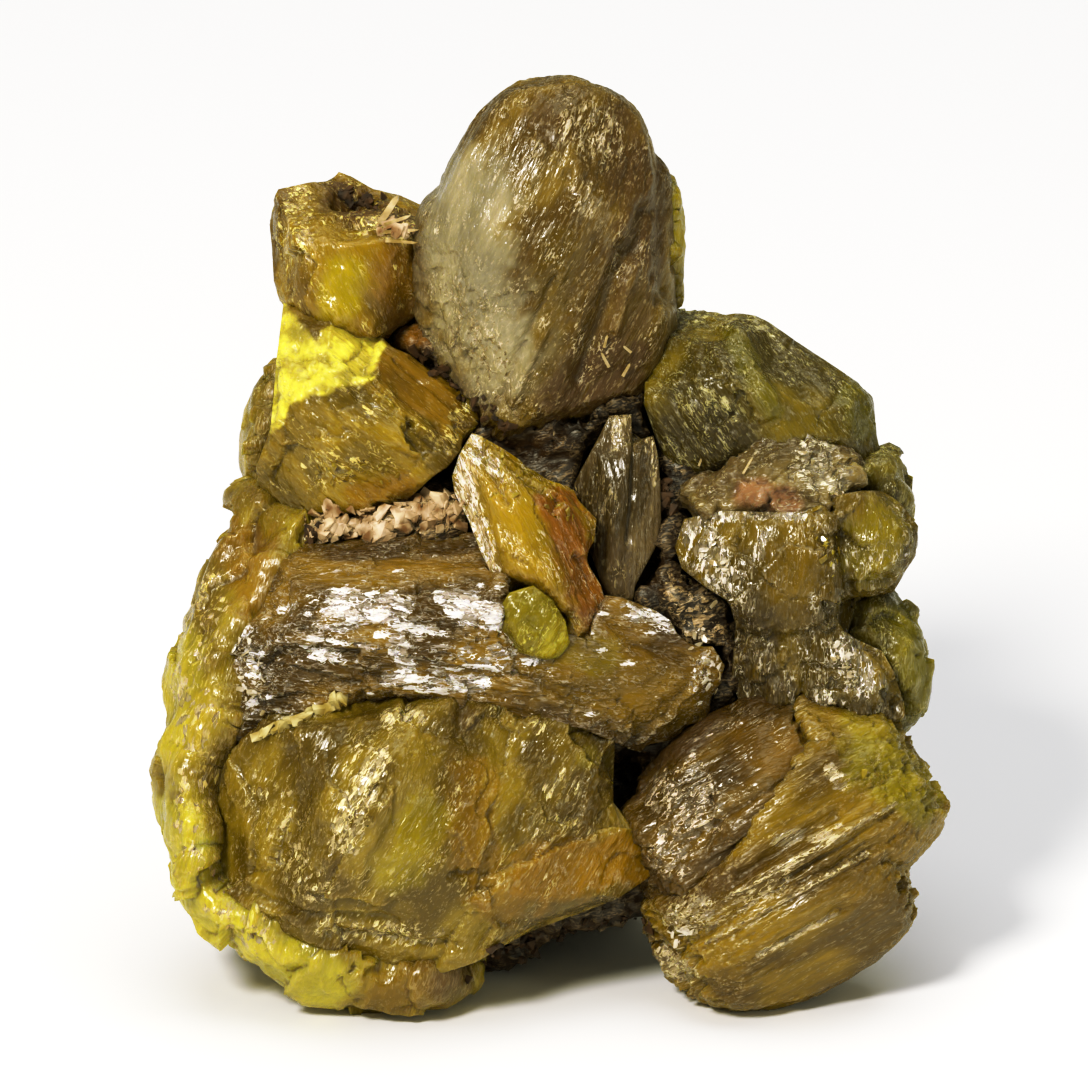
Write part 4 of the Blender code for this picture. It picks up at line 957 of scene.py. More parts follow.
# amber wedge, its upper left edge pale fibrous plates, partly bruised and partly glossy streaks
# painted as highlights
wedge = {
    "finish": "clearAmberWedge", "seed": 19, "angle": -61, "tip": 0, "voxel": 0.22, "melt": 4,
    "join": 0.3, "lumps": (1.6, 0.05),
    "cuts": [(190, 40, 0.5), (20, 45, 0.5), (100, 20, 0.4)],
    "pulls": [(1.7, 16, 1.2, 0, 1.1, 0)],
    "trim": [
        [(-3.3, 24.75), (-3.83, 23.85), (-4.14, 22.9), (-4.04, 22.2), (-3.42, 21), (-2.88, 19.6),
         (-2.48, 18.8), (-0.9, 17.6), (-0.04, 16.6), (0.79, 15.9), (1.33, 15.5), (2.42, 15.3),
         (2.96, 15.7), (2.76, 16.4), (2.35, 17.6), (2.15, 18.3), (1.6, 19.2), (1.54, 19.6),
         (1.88, 20.2), (1.98, 21.1), (1.2, 21.9), (0.99, 22.4), (-0.17, 22.8), (-0.98, 23.4),
         (-1.93, 24.05), (-2.9, 24.6)],
    ],
    "relief": [(1.4, 3.4, 0.22, "facet"), (0.45, 4, 0.08, "plank"), (0.4, 2, 0.04, "flake")],
    "calm": [([(-1, 21.4), (0.4, 19)], 1.2, 0.7)],
    "marks": [("step", [(-1.2, 23.2), (-0.8, 21.6), (0.2, 19.8), (1, 18)], 0.6, -0.22),
        ("groove", [(-2.8, 23.6), (-1.8, 21.8)], 0.15, 0.2),
        ("groove", [(-3.6, 21.6), (-2.6, 19.6)], 0.15, 0.2)],
    "ends": [(-1, 0.4, 0.5, 0.35)],
    # painted highlight: glossy pale streaks along the upper left edge
    "paint": [("crustAndHighlight", [(-3.7, 23.8), (-3.5, 22), (-2.6, 19.8)], 0.4, 0.85),
        ("crustAndHighlight", [(-3.4, 24.4), (-3.6, 22.8), (-3.4, 21)], 0.8, 0.75),
        ("crustAndHighlight", [(-3.2, 20.6), (-2.4, 19)], 0.4, 0.8),
        ("crustAndHighlight", [(-2.8, 23.8), (-2.2, 23)], 0.4, 0.7),
        ("warm", [(0.4, 21.6), (1.2, 19.4), (2, 17)], 1.1, 1.0),
        ("dirtAndShade", [(1.8, 21.4), (2, 20)], 0.45, 0.35), ("dirtAndShade", [(1.2, 17), (2.6, 16)], 0.9, 0.5)],
    "deep": "#8a7204", "body": "#967a08", "warm": "#86560a", "tintAndPaintedLight": "#a8a010", "crustAndHighlight": "#c8ae80",
    "dirtAndShade": "#5c3a10", "glint": "#f6ead2", "gloss": 0.18, "depth": 0.45, "ridgeBruiseAndHighlight": 0.35,
    "strokes": 0.45, "lit": 0.55, "glints": 0.6, "flake": 0.15, "long": 4,
}
crystal("wedge_crystal", wedge)

bead = {
    "finish": "waxyYellowGreenBead", "seed": 20, "angle": 60, "voxel": 0.16, "melt": 8, "join": 0.3,
    "swell": 0.05, "lumps": (0.9, 0.14),
    "trim": [
        [(-2.25, 17.2), (-1.7, 18), (-0.7, 18.3), (0.1, 17.7), (0.65, 16.8), (0.85, 15.9),
         (0.5, 15.25), (-0.2, 15.15), (-1.4, 15.5), (-2.1, 16.2)],
    ],
    "relief": [(0.6, 0.8, 0.04, "flake")],
    "deep": "#847608", "body": "#a8980e", "warm": "#987e00", "tintAndPaintedLight": "#a8a010", "crustAndHighlight": "#bcb458",
    "dirtAndShade": "#5a4a08", "glint": "#e0d870", "gloss": 0.2, "depth": 0.5, "ridgeBruiseAndHighlight": 0.35, "seam": 0.5,
    "glints": 0.7, "flake": 0.2, "long": 1.4,
}
crystal("green_bead", bead)

# grey-brown blade of upright fibres, snapped off in two prongs
blade = {
    "finish": "silkyGreyBlade", "seed": 21, "angle": 88, "tip": 0, "voxel": 0.18, "melt": 1,
    "join": 0.1, "lumps": (1.6, 0.03),
    "cuts": [(180, 50, 0.4), (0, 60, 0.5), (90, 75, 0.3)],
    "trim": [
        [(2.53, 25.5), (3.47, 25.55), (3.5, 24.4), (3.6, 23.8), (3.85, 23.9), (3.89, 24.5),
         (4.39, 24.65), (4.6, 23.8), (4.7, 22.5), (4.73, 21), (4.49, 19.9), (3.9, 18.8),
         (3.64, 18.3), (3.5, 17.5), (2.4, 17.3), (2.1, 18.6), (1.6, 20), (1.2, 21.5), (0.99, 22.5),
         (1.33, 23.2), (2.01, 24.46)],
    ],
    "relief": [(0.4, 6, 0.06, "plank"), (0.3, 3.5, 0.02, "ridge")],
    "marks": [("groove", [(3.6, 24.6), (3.5, 22.4), (3.3, 20)], 0.12, 0.3),
        ("groove", [(2.4, 22), (2.3, 19)], 0.1, 0.12)],
    "ends": [(1, 0.4, 0.5, 0.28)],
    "paint": [("crustAndHighlight", [(3, 25.4), (2.8, 24.4)], 0.4, 0.5),
        ("crustAndHighlight", [(4.3, 24.4), (4.5, 22.6)], 0.25, 0.6),
        ("dirtAndShade", [(2.4, 19.6), (3, 18)], 1.0, 0.5)],
    "deep": "#4a3a1c", "body": "#64543a", "warm": "#5a4612", "tintAndPaintedLight": "#a8a010", "crustAndHighlight": "#988460",
    "dirtAndShade": "#36220a", "glint": "#d0c098", "gloss": 0.25, "depth": 0.15, "ridgeBruiseAndHighlight": 0.4,
    "glints": 0.7, "flake": 0.14, "long": 3,
}
crystal("upright_blade", blade)

# block, bulb and leg grown as one: pale crust at the left painted silvery as a highlight, green
# bulb, grey leg, with painted highlights along its top edge and on the leg
block = {
    "finish": "resinOliveStep", "seed": 22, "angle": 86, "tip": 0, "voxel": 0.24, "melt": 8,
    "join": 0.45, "lumps": (1.5, 0.1), "chips": 7, "chip": 0.5,
    "trim": [
        [(5.7, 21.1), (7.3, 21.45), (9, 21.4), (10.7, 21.4), (12, 22.1), (13.2, 22.3), (14.1, 22.3),
         (14.9, 21.8), (15.65, 20.8), (15.65, 19.7), (15.2, 19), (14.6, 18), (13.8, 17.8),
         (12.5, 17.75), (12.1, 17), (12.4, 16.4), (13, 16), (14.1, 15.5), (14.6, 14.6), (15, 13.4),
         (15.1, 12.6), (13.3, 12.2), (11.7, 12.4), (10.6, 12.9), (9.4, 12.6), (8.2, 13),
         (7.7, 14.2), (7.8, 15.6), (7.9, 16.6), (7.6, 17.6), (6.6, 18.2), (5.6, 19), (5.3, 19.9)],
    ],
    "relief": [(1.5, 2, 0.3, "facet"), (0.6, 2.2, 0.07, "ridge"), (0.55, 1, 0.08, "flake"),
        (0.9, 0.75, 0.2, "pit")],
    "calm": [([(10, 20), (10.4, 18)], 1.3, 0.6), ([(13.9, 20.6)], 1.0, 0.6)],
    "marks": [("groove", [(12.4, 21.6), (12.6, 20), (12.4, 18)], 0.35, 0.35),
        ("step", [(8, 20.2), (7.8, 18.4), (8, 16.8)], 0.6, 0.3),
        ("groove", [(8.4, 16.8), (8.4, 14.8)], 0.2, 0.3),
        ("groove", [(10.7, 14.9), (10.6, 13.1)], 0.18, 0.4),
        ("groove", [(11, 14.9), (12.8, 14.8)], 0.12, 0.25),
        ("groove", [(11.2, 14), (13.2, 14)], 0.1, 0.2)],
    # painted highlights: the pale crust at the left, the top edge and the leg
    "paint": [("dirtAndShade", [(8.6, 16.6), (8.8, 14.4), (9.8, 13)], 1.6, 0.92),
        ("crustAndHighlight", [(6.4, 20.6), (6.8, 19.4), (7.4, 18.4)], 0.95, 0.95),
        ("crustAndHighlight", [(6, 21.2), (10.6, 21.3)], 0.3, 0.8),
        ("crustAndHighlight", [(12.6, 15.4), (12.8, 14.6), (13.4, 14.2)], 0.9, 0.7),
        ("crustAndHighlight", [(11.6, 13.4), (12.6, 13)], 0.5, 0.6),
        ("crustAndHighlight", [(9, 20.4), (8.8, 19.4)], 0.3, 0.6),
        ("warm", [(10.6, 20.2), (10.2, 18)], 1.5, 0.7),
        ("tintAndPaintedLight", [(14, 20.6), (13.6, 19.4)], 1.5, 0.75),
        ("dirtAndShade", [(9.2, 15.4), (9.8, 13.8)], 1.2, 0.45),
        ("dirtAndShade", [(9.4, 17), (11, 17)], 0.8, 0.35)],
    "deep": "#56440a", "body": "#705c12", "warm": "#745c06", "tintAndPaintedLight": "#7e700c", "crustAndHighlight": "#94866e",
    "dirtAndShade": "#3b2a08", "glint": "#ece2d0", "gloss": 0.18, "depth": 0.25, "ridgeBruiseAndHighlight": 0.5,
    "strokes": 0.65, "glints": 0.85, "glintSpecks": 0.8, "flake": 0.2, "long": 2, "facets": 0.7,
}
crystal("right_block", block)

greyCrust = {
    "finish": "dullGreyGreenCrust", "seed": 23, "angle": 10, "voxel": 0.2, "melt": 8, "join": 0.5,
    "lumps": (1.1, 0.22), "chips": 6, "chip": 0.5,
    "relief": [(1.4, 1.6, 0.3, "facet"), (0.5, 0.8, 0.12, "flake"), (0.4, 0.8, 0.06, "ridge")],
    # painted highlight: the pale on its upper right
    "paint": [("crustAndHighlight", [(11, 23.4), (12.2, 22.6)], 1.1, 0.62),
        ("crustAndHighlight", [(11, 24.2), (11.8, 24)], 0.5, 0.6),
        ("dirtAndShade", [(7.6, 23.6), (6.8, 22.6)], 1.1, 0.6),
        ("warm", [(8.4, 22.2), (10, 21.8)], 0.8, 1.0), ("tintAndPaintedLight", [(12.2, 22.4)], 0.5, 0.7)],
    "deep": "#62502c", "body": "#7c6a40", "warm": "#906a4c", "tintAndPaintedLight": "#807208", "crustAndHighlight": "#9c9078",
    "dirtAndShade": "#42280c", "glint": "#e8dcbc", "gloss": 0.25, "depth": 0.15, "ridgeBruiseAndHighlight": 0.5,
    "glints": 0.8, "flake": 0.2, "long": 1.6,
}
crystal("grey_crust_crystal", greyCrust)

# dark green dome with slanting flakes, a flat top painted pale grey as a highlight, and painted
# shade at its lower left
dome = {
    "finish": "resinDarkGreenDome", "seed": 24, "angle": -56, "tip": 0, "melt": 8, "join": 0.45,
    "lumps": (2.4, 0.1),
    "cuts": [(95, 20, 1.0), (60, 45, 0.9), (140, 50, 0.8), (-60, 50, 0.7), (10, 30, 0.6)],
    "trim": [
        [(5, 30.1), (6.2, 30.2), (7.5, 30.05), (8.8, 29.8), (9.4, 29.5), (10.3, 28.85),
         (11.7, 27.95), (13.2, 26.95), (13.85, 26.3), (13.95, 24.7), (14.15, 23.8), (14.3, 22.4),
         (12, 21.8), (8, 22), (5, 23.2), (4, 26), (4.1, 28.6)],
    ],
    "relief": [(2.4, 3.4, 0.16, "facet"), (0.7, 4, 0.08, "plank"), (0.5, 1.6, 0.05, "flake"),
        (0.3, 1.4, 0.03, "ridge")],
    "calm": [([(9.6, 28.8)], 0.9, 0.7)],
    "marks": [("rib", [(7.9, 29), (8.4, 27.6), (9.2, 25.8)], 0.45, 0.4),
        ("groove", [(9.4, 29), (9.6, 28)], 0.6, 0.3), ("step", [(4.6, 26.4), (7, 27)], 0.6, 0.2)],
    # painted highlight: the pale flat top; painted shade: the dark at its lower left
    "paint": [("crustAndHighlight", [(5.6, 29.8), (9.8, 29.4)], 0.55, 0.42),
        ("tintAndPaintedLight", [(7.9, 28.8), (8.6, 27.2), (9.4, 25.8)], 0.6, 0.4),
        ("tintAndPaintedLight", [(13, 26.4), (13.4, 25)], 0.9, 0.4),
        ("crustAndHighlight", [(6, 26.2), (7.4, 25.8)], 0.9, 0.36), ("dirtAndShade", [(5, 25), (8, 24.4)], 1.6, 0.7)],
    "deep": "#50420a", "body": "#6c5c12", "warm": "#584a04", "tintAndPaintedLight": "#7e7804", "crustAndHighlight": "#948a60",
    "dirtAndShade": "#2e2004", "glint": "#c0b888", "gloss": 0.22, "depth": 0.25, "ridgeBruiseAndHighlight": 0.4,
    "strokes": 0.65, "glints": 0.8, "glintSpecks": 0.8, "flake": 0.2, "long": 2.6, "facets": 0.6,
}
crystal("right_dome", dome)

rightLobe = {
    "finish": "waxyGreenLobe", "seed": 25, "angle": 85, "melt": 10, "lumps": (1.4, 0.2),
    "relief": [(1.6, 1.8, 0.22, "facet"), (0.6, 1.6, 0.03, "ridge")],
    # painted light down the right edge where light shines through it, and painted shade at the upper left
    # where it meets the block
    "paint": [("tintAndPaintedLight", [(15.2, 17), (15.8, 15), (15.4, 13)], 1.0, 0.5),
        ("dirtAndShade", [(12.6, 17)], 1.2, 0.7)],
    "deep": "#4e4402", "body": "#665a02", "warm": "#665200", "tintAndPaintedLight": "#827802", "crustAndHighlight": "#98905a",
    "dirtAndShade": "#322204", "gloss": 0.2, "depth": 0.4, "glints": 0.4, "flake": 0.3, "facets": 0.3,
}
crystal("right_lobe", rightLobe)

rightBackLobe = dict(rightLobe, finish="waxyGreenBackLobe", seed=26, paint=[])
rightBackLobe.update(body="#6a5e14", deep="#524608")
crystal("right_back_lobe", rightBackLobe)

# upper of the two barrels at the lower right: brown-olive, crazed grey skin on its left end
# lightened with a painted highlight, painted shade at its upper left end where it runs into the
# hollow
upperBarrel = {
    "finish": "silkyBrownBarrel", "seed": 27, "angle": 28, "tip": 4, "splay": 0.004, "voxel": 0.2,
    "melt": 8, "join": 0.5, "lumps": (2.4, 0.06), "smooth": 0.6,
    "cuts": [(28, 10, 0.9), (120, 50, 0.5), (-62, 50, 0.4), (208, 30, 0.6)],
    "pulls": [(3.7, 10.6, 1.1, 0, 1.6, 0)],
    "relief": [(0.7, 6, 0.08, "plank"), (0.35, 10, 0.06, "ridge"), (0.5, 0.7, 0.04, "flake")],
    "calm": [([(8.4, 11.4), (10, 11.2)], 1.6, 0.6)],
    "marks": [("groove", [(5.6, 7.4), (8.4, 9.2), (10.6, 10.4)], 0.14, 0.22),
        ("groove", [(5.8, 6), (8.6, 7.8), (10.8, 9.4)], 0.14, 0.2),
        ("groove", [(5.2, 9.8), (6.6, 10.4)], 0.12, 0.2),
        ("groove", [(6.8, 9.4), (7, 8), (6.6, 7)], 0.12, 0.25)],
    "ends": [(1, 0.45, 0.4, 0.4), (-1, 0.5, 0.3, 0.35)],
    # painted shade: the dark of the hollow at its upper left end; painted highlight: the pale on its left
    # end
    "paint": [("dirtAndShade", [(3.4, 9.8), (4.6, 11.4), (6.4, 12.6)], 1.1, 1.0),
        ("crustAndHighlight", [(5, 9.6), (5.8, 8.2), (5, 7)], 1.1, 0.6),
        ("crustAndHighlight", [(6, 10.4), (6.8, 8.4)], 0.8, 0.5), ("warm", [(8.6, 11.6), (10.6, 11)], 1.4, 0.6),
        ("dirtAndShade", [(5, 5.4), (7.6, 6.8)], 0.9, 0.5)],
    "deep": "#4a3407", "body": "#624b12", "warm": "#725400", "tintAndPaintedLight": "#86780c", "crustAndHighlight": "#80705a",
    "dirtAndShade": "#442c08", "glint": "#dccab0", "gloss": 0.22, "depth": 0.18, "ridgeBruiseAndHighlight": 0.5,
    "grain": 0.14, "strokes": 0.6, "lace": 0.25, "glints": 0.75, "flake": 0.16, "long": 3.4,
    "striae": 0.9,
}
crystal("lower_right_barrel_upper", upperBarrel)

# the long barrel under it: staves with pale edges, green toward its right end
lowerBarrel = {
    "finish": "silkyOliveStaves", "seed": 28, "angle": 30, "tip": 4, "splay": 0.0022, "voxel": 0.26,
    "melt": 9, "lumps": (3, 0.08), "smooth": 0.6,
    "cuts": [(30, 10, 0.8), (75, 30, 0.6), (-60, 45, 0.7), (210, 20, 0.6)],
    "relief": [(0.8, 9, 0.1, "plank"), (0.4, 12, 0.09, "ridge"), (0.6, 2, 0.03, "flake")],
    "calm": [([(11, 2.6), (13.6, 4.4)], 1.8, 0.7)],
    "marks": [("groove", [(7.4, 4.9), (13.8, 8.5)], 0.1, 0.16),
        ("groove", [(6.6, 3), (13.4, 6.8)], 0.1, 0.16),
        ("step", [(6, 3), (9.4, 5.2), (13.5, 7)], 0.7, -0.4),
        ("step", [(8.7, 2.6), (10.6, 3.6), (12.2, 4.5)], 0.5, -0.22),
        ("groove", [(9.9, 5.9), (12.4, 7.4), (14.5, 8.7)], 0.16, 0.3),
        ("groove", [(8, 6), (10.6, 7.8), (12, 8.6)], 0.25, 0.35),
        ("groove", [(14.4, 6.6), (15.4, 6)], 0.3, 0.4),
        ("rib", [(6.4, 4.4), (9, 6), (12.6, 7.8)], 0.3, 0.22),
        ("rib", [(9.6, 2.2), (10.8, 2.9)], 0.12, 0.15)],
    "ends": [(1, 0.5, 0.45, 0.5), (-1, 0.5, 0.5, 0.5)],
    "paint": [("crustAndHighlight", [(9.8, 6.3), (14.6, 9.1)], 0.1, 0.6),
        ("crustAndHighlight", [(7.4, 5.1), (13.8, 8.7)], 0.11, 0.7),
        ("crustAndHighlight", [(6.6, 3.2), (13.4, 7)], 0.11, 0.8), ("crustAndHighlight", [(4.9, 2.4), (5.6, 1.9)], 0.7, 0.95),
        ("crustAndHighlight", [(5.4, 4.4), (6.4, 4.6)], 0.9, 0.55), ("crustAndHighlight", [(9.6, 7.6), (12.2, 8)], 0.4, 0.6),
        ("crustAndHighlight", [(8.8, 2.7), (12, 4.4)], 0.16, 0.9), ("crustAndHighlight", [(6.6, 4), (10, 6)], 0.4, 0.45),
        ("dirtAndShade", [(6, 5.2), (9, 7)], 0.6, 0.6), ("tintAndPaintedLight", [(13.6, 11), (15.6, 9.6)], 1.6, 0.7),
        ("tintAndPaintedLight", [(13, 12.6), (14.4, 12)], 0.9, 0.5), ("warm", [(14.8, 7.6), (13, 5)], 1.2, 0.35),
        ("crustAndHighlight", [(11.8, 10.6), (12.2, 10)], 0.4, 0.6)],
    "deep": "#624a02", "body": "#7c640a", "warm": "#745800", "tintAndPaintedLight": "#8c8000", "crustAndHighlight": "#ae9c78",
    "dirtAndShade": "#4a3006", "glint": "#d8c8a0", "gloss": 0.22, "depth": 0.25, "ridgeBruiseAndHighlight": 0.5,
    "grain": 0.14, "strokes": 0.65, "lace": 0.2, "glints": 0.7, "flake": 0.18, "long": 4.5,
    "striae": 0.9,
}
crystal("lower_right_barrel", lowerBarrel)

# the far side, as on the near one: barrels along their fibres and waxy lobes
plain = {"paint": [], "marks": [], "calm": [], "voxel": 0.34}
backs = {
    "back_barrel_left": dict(topBarrel, finish="silkyOliveBackLeft", seed=31, angle=72, **plain),
    "back_barrel_right": dict(lowerBarrel, finish="silkyOliveBackRight", seed=32, angle=62, **plain),
    "back_low_left": dict(leftLobe, finish="waxyBackLeft", seed=33, angle=20, paint=[], voxel=0.34),
    "back_low_right": dict(lowerLeft, finish="resinBackRight", seed=34, angle=24, **plain),
}
for backName, backLook in backs.items():
    crystal(backName, backLook)

# rock: crumbly limonite with bits of quartz
rock = {
    "finish": "crumblyLimonite", "seed": 41, "angle": 10, "voxel": 0.24, "levels": 0, "melt": 2,
    "join": 0, "swell": 0.15, "lumps": (1.6, 0.35), "chips": 0,
    "relief": [(1.5, 1.7, 0.4, "flake"), (0.6, 0.7, 0.12, "flake"), (0.9, 0.6, 0.25, "pit")],
    "paint": [("crustAndHighlight", [(-10, 20.8), (-7, 21), (-4.4, 21.4)], 0.9, 0.75),
        ("warm", [(-6.4, 29), (-5.4, 29.6)], 1.2, 1.0),
        ("crustAndHighlight", [(5.4, 18), (6.6, 16.4)], 1.0, 0.4)],
    "deep": "#22140a", "body": "#382412", "warm": "#845a08", "tintAndPaintedLight": "#a8a010", "crustAndHighlight": "#b89c74",
    "dirtAndShade": "#1e1004", "glint": "#d4bc98", "gloss": 0.5, "depth": 0.05, "ridgeBruiseAndHighlight": 0.35, "seam": 0.6,
    "strokes": 0.12, "lace": 0.0, "glints": 0.4, "glintSpecks": 0.3, "flake": 0.25, "long": 1.2,
}
crystal("matrix", rock)

# loose bits: splinters, chips and crumbs that lie on the crystals

def frontAt(x, z, lift=0.1):
    # the first finished skin behind a point of the show face, and the way it looks
    hits = [tree.ray_cast((x, -30, z), (0, 1, 0)) for tree in skinTrees]
    hits = [(far, spot, normal) for spot, normal, index, far in hits if spot is not None]
    if not hits:
        return None, None
    far, spot, normal = min(hits, key=lambda hit: hit[0])
    normal = np.array(normal) if normal[1] < 0 else -np.array(normal)
    return np.array(spot) + lift * normal, normal


def chunk(shape, centre, axes, size, seed, rounded=0.0):
    # an angular broken bit: the hull of scattered points in a box
    own = threes(hashed(np.array([[seed, k, 7] for k in range(12)]), seed)) * 2 - 1
    own = own / (np.abs(own).max(axis=1)[:, None] ** (1 - rounded))
    verts = [shape.verts.new(centre + (spot * size / 2) @ axes) for spot in own]
    made = bmesh.ops.convex_hull(shape, input=verts)
    buried = [part for part in made["geom_interior"] if isinstance(part, bmesh.types.BMVert)]
    bmesh.ops.delete(shape, geom=buried, context="VERTS")


def frameOf(normal, angle):
    # ways along, across and out of a bit that lies on a surface, the first at an angle on the face
    long = np.array([math.cos(math.radians(angle)), 0, math.sin(math.radians(angle))])
    long = long - normal * (long @ normal)
    long /= np.linalg.norm(long)
    return np.array([long, np.cross(normal, long), normal])


def bitFinish(look):
    # little bits with a colour of their own each, glassy where they are clean, else dull
    material, tree, shader = newFinish(look["finish"])
    spot = add(tree, "TexCoord", {}).outputs["Object"]
    patches = 1400  # to a metre: one patch of colour each 0.7 mm
    spread = add(tree, "TexNoise", {"Vector": spot, "Scale": patches, "Detail": 2}).outputs["Fac"]
    share = add(tree, "MapRange", {0: spread, 1: 0.35, 2: 0.65})
    dark, light = linear(look["dark"]), linear(look["light"])
    colour = add(tree, "Mix", {0: share, 6: dark, 7: light}, **overlaid)
    tree.links.new(colour, shader.inputs["Base Color"])
    shader.inputs["Roughness"].default_value = look["rough"]
    shader.inputs["Subsurface Weight"].default_value = look["depth"]
    shader.inputs["Subsurface Radius"].default_value = (1, 0.8, 0.3)
    shader.inputs["Subsurface Scale"].default_value = 0.0004
    return material


def loose(name, look, build):
    shape = bmesh.new()
    build(shape, look)
    bmesh.ops.recalc_face_normals(shape, faces=shape.faces)
    for vert in shape.verts:
        vert.co = boxed(toWorld(np.array([vert.co[:]])))[0]
    mesh = bpy.data.meshes.new(name)
    shape.to_mesh(mesh)
    shape.free()
    mesh.materials.append(bitFinish(look))
    piece = bpy.data.objects.new(name, mesh)
    bpy.context.scene.collection.objects.link(piece)
    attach(piece, "root")
    print(name, len(mesh.polygons))


def scattered(shape, look):
    # chips along paths: each path has its points, its half width and its number of chips
    seed, small, large = look["seed"], look["small"], look["large"]
    number = seed * 1000
    for path, reach, count in look["paths"]:
        path = np.array(path, float)
        for k in range(count):
            number += 1
            a, b, c = threes(hashed(np.array([[number, 3, 5]]), seed))[0]
            d, e, f = threes(hashed(np.array([[number, 9, 1]]), seed + 1))[0]
            share = a * (len(path) - 1)
            step = min(int(share), len(path) - 2)
            middle = path[step] + (path[step + 1] - path[step]) * (share - step)
            x, z = middle + reach * np.array([b + c - 1, d + e - 1])
            spot, normal = frontAt(x, z, 0.12)
            if spot is None:
                continue
            width = small + (large - small) * f ** 2
            size = width * np.array([look["long"], 1, look["flat"]])
            tipped = normal + 0.9 * np.array([a - 0.5, c - 0.5, b - 0.5])
            tipped /= np.linalg.norm(tipped)
            chunk(shape, spot, frameOf(tipped, 360 * e), size, number)


def needles(shape, look):
    # thin slabs, snapped off at a slant and thinner toward the far end
    outline = [(0, 0.5), (0, -0.5), (0.84, -0.42), (1, 0.05), (0.8, 0.45)]
    for x, z, angle, length, width, out in look["rows"]:
        spot, normal = frontAt(x, z, 0.1)
        turn = math.radians(angle)
        along = np.array([math.cos(turn), -out, math.sin(turn)])
        along /= np.linalg.norm(along)
        side = np.cross(along, [0, 1, 0])
        side /= np.linalg.norm(side)
        up = np.cross(along, side)
        ring = [spot + a * length * along + b * width * side for a, b in outline]
        face = shape.faces.new([shape.verts.new(place) for place in ring])
        made = bmesh.ops.extrude_face_region(shape, geom=[face], use_keep_orig=True)
        top = [part for part in made["geom"] if isinstance(part, bmesh.types.BMVert)]
        for way, verts in ((-1, list(face.verts)), (1, top)):
            for vert in verts:
                far = (np.array(vert.co) - spot) @ along > length / 2
                vert.co += Vector(way * width * (0.32 if far else 0.4) * up)


def veinSlabs(shape, look):
    start, end = np.array(look["start"]), np.array(look["end"])
    for k in range(look["count"]):
        share = (k + 0.5) / look["count"]
        x, z = start + (end - start) * share
        spot, normal = frontAt(x, z, 0.05)
        width = look["width"] * (1 + share)
        size = np.array([look["long"], width, look["thick"]])
        chunk(shape, spot, frameOf(normal, look["angle"]), size, look["seed"] + k, 0.5)


crumbBand = {
    "finish": "dullTanCrumbs", "slot": "matrix", "seed": 51, "small": 0.1, "large": 0.65,
    "flat": 0.5, "long": 1.5, "light": "#dcc4a4", "dark": "#84603c", "rough": 0.45, "depth": 0.1,
    "paths": [([(-10, 20.9), (-7, 21), (-4, 21.6)], 0.75, 240),
        ([(-7.4, 33.5), (-5.6, 33.2)], 0.35, 20)],
}
loose("crumb_band", crumbBand, scattered)

darkCrumbs = {
    "finish": "dullBrownCrumbs", "slot": "matrix", "seed": 52, "small": 0.1, "large": 0.4,
    "flat": 0.7, "long": 1.5, "light": "#54381e", "dark": "#20120a", "rough": 0.7, "depth": 0,
    "paths": [([(-10.3, 20.4), (-9.8, 20.6)], 0.3, 12),
        ([(-5.6, 28.4), (-3.6, 26.4), (-1.6, 24.8)], 0.5, 60),
        ([(-8.9, 35), (-7.2, 34.4)], 0.45, 40), ([(4.9, 22.8), (5.2, 21.6)], 0.4, 30),
        ([(-3.6, 2.2), (4.4, 4.2)], 0.9, 60)],
}
loose("dark_crumbs", darkCrumbs, scattered)

paleChips = {
    "finish": "glassyPaleChips", "slot": "right_block", "seed": 53, "small": 0.07, "large": 0.24,
    "flat": 0.3, "long": 1.8, "light": "#e8dcc4", "dark": "#a08c68", "rough": 0.18, "depth": 0.3,
    "paths": [([(6, 20.8), (7, 19.2), (7.4, 18.2)], 0.9, 26),
        ([(10.8, 23.8), (12.6, 22.4)], 0.8, 20), ([(12.2, 15.4), (13, 14.4)], 0.7, 20),
        ([(-12.8, 16), (-12.4, 13.4)], 0.7, 50), ([(4.8, 2.6), (6.2, 4)], 0.6, 30),
        ([(6.2, 16.4), (7, 13.8)], 0.6, 40)],
}
loose("pale_chips", paleChips, scattered)

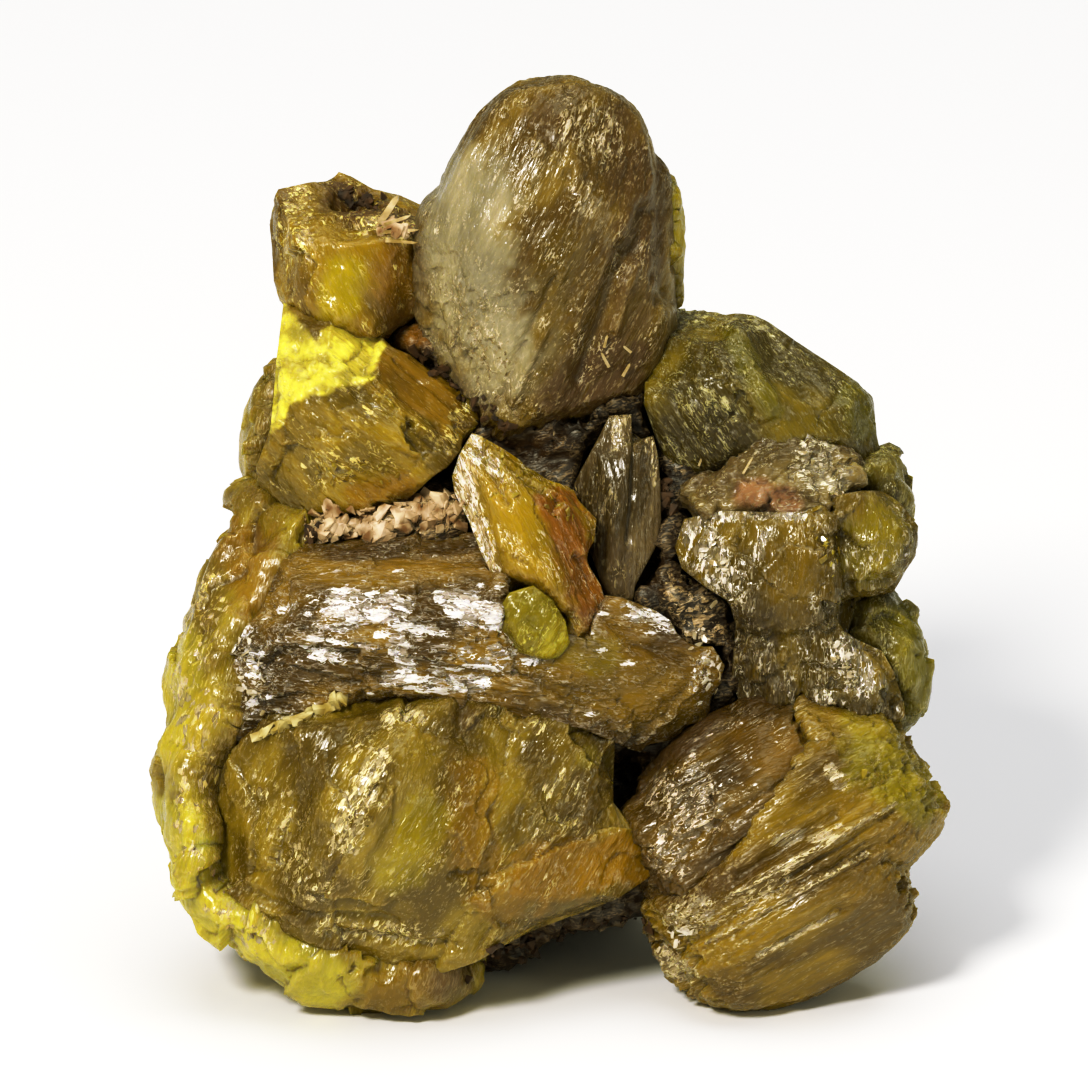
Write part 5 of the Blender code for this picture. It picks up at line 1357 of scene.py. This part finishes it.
amberChips = {
    "finish": "glassyAmberChips", "slot": "lower_left_crystal", "seed": 54, "small": 0.08,
    "large": 0.28, "flat": 0.35, "long": 1.7, "light": "#9c8a30", "dark": "#6a560e",
    "rough": 0.16, "depth": 0.5,
    "paths": [([(-11, 23.4), (-6.4, 23.2)], 0.8, 26), ([(11, 21), (12.4, 19)], 0.7, 18),
        ([(-3, 24), (2, 20)], 0.8, 16), ([(12.4, 10.8), (15, 9.4)], 0.7, 26)],
}
loose("amber_chips", amberChips, scattered)

# rows: foot on the show face, angle, length, width and how far it stands out
splinters = {
    "finish": "silkyTanSplinters", "slot": "top_barrel_crystal",
    "light": "#cdb890", "dark": "#8c7442", "rough": 0.25, "depth": 0.3,
    "rows": [(-7.2, 33.6, 56, 1.5, 0.3, 0.3), (-7, 33.5, 20, 1.2, 0.16, 0.12),
        (-7.2, 33.2, 4, 1.7, 0.16, 0.1), (-7, 32.9, -4, 1.4, 0.14, 0.1),
        (2.5, 27.6, 118, 0.8, 0.14, 0.5), (3.1, 27.2, 60, 0.7, 0.14, 0.5),
        (2.3, 28.4, 75, 0.6, 0.12, 0.4), (3.4, 28.2, 140, 0.5, 0.12, 0.4),
        (8.1, 23, 60, 0.9, 0.1, 0.4), (6.4, 23.4, 70, 1.2, 0.1, 0.3)],
}
loose("splinters", splinters, needles)

# pale yellow vein between the sheaf and the crystal under it
vein = {
    "finish": "chalkyYellowVein", "slot": "middle_sheaf", "seed": 900, "count": 16,
    "start": (-12.3, 11.9), "end": (-8.6, 13.6), "angle": 22,
    "width": 0.45, "long": 0.8, "thick": 0.5,
    "light": "#cfc290", "dark": "#9c8640", "rough": 0.5, "depth": 0.1,
}
loose("yellow_vein", vein, veinSlabs)

# floor: pale matte board
floorMesh = bpy.data.meshes.new("floor")
floorShape = bmesh.new()
bmesh.ops.create_grid(floorShape, x_segments=1, y_segments=1, size=3)
floorShape.to_mesh(floorMesh)
floorShape.free()
floor = bpy.data.objects.new("floor", floorMesh)
bpy.context.scene.collection.objects.link(floor)
floorFinish, floorTree, floorShader = newFinish("matteWhiteBoard")
floorShader.inputs["Base Color"].default_value = (0.9, 0.9, 0.9, 1)
floorShader.inputs["Roughness"].default_value = 0.8
floorMesh.materials.append(floorFinish)
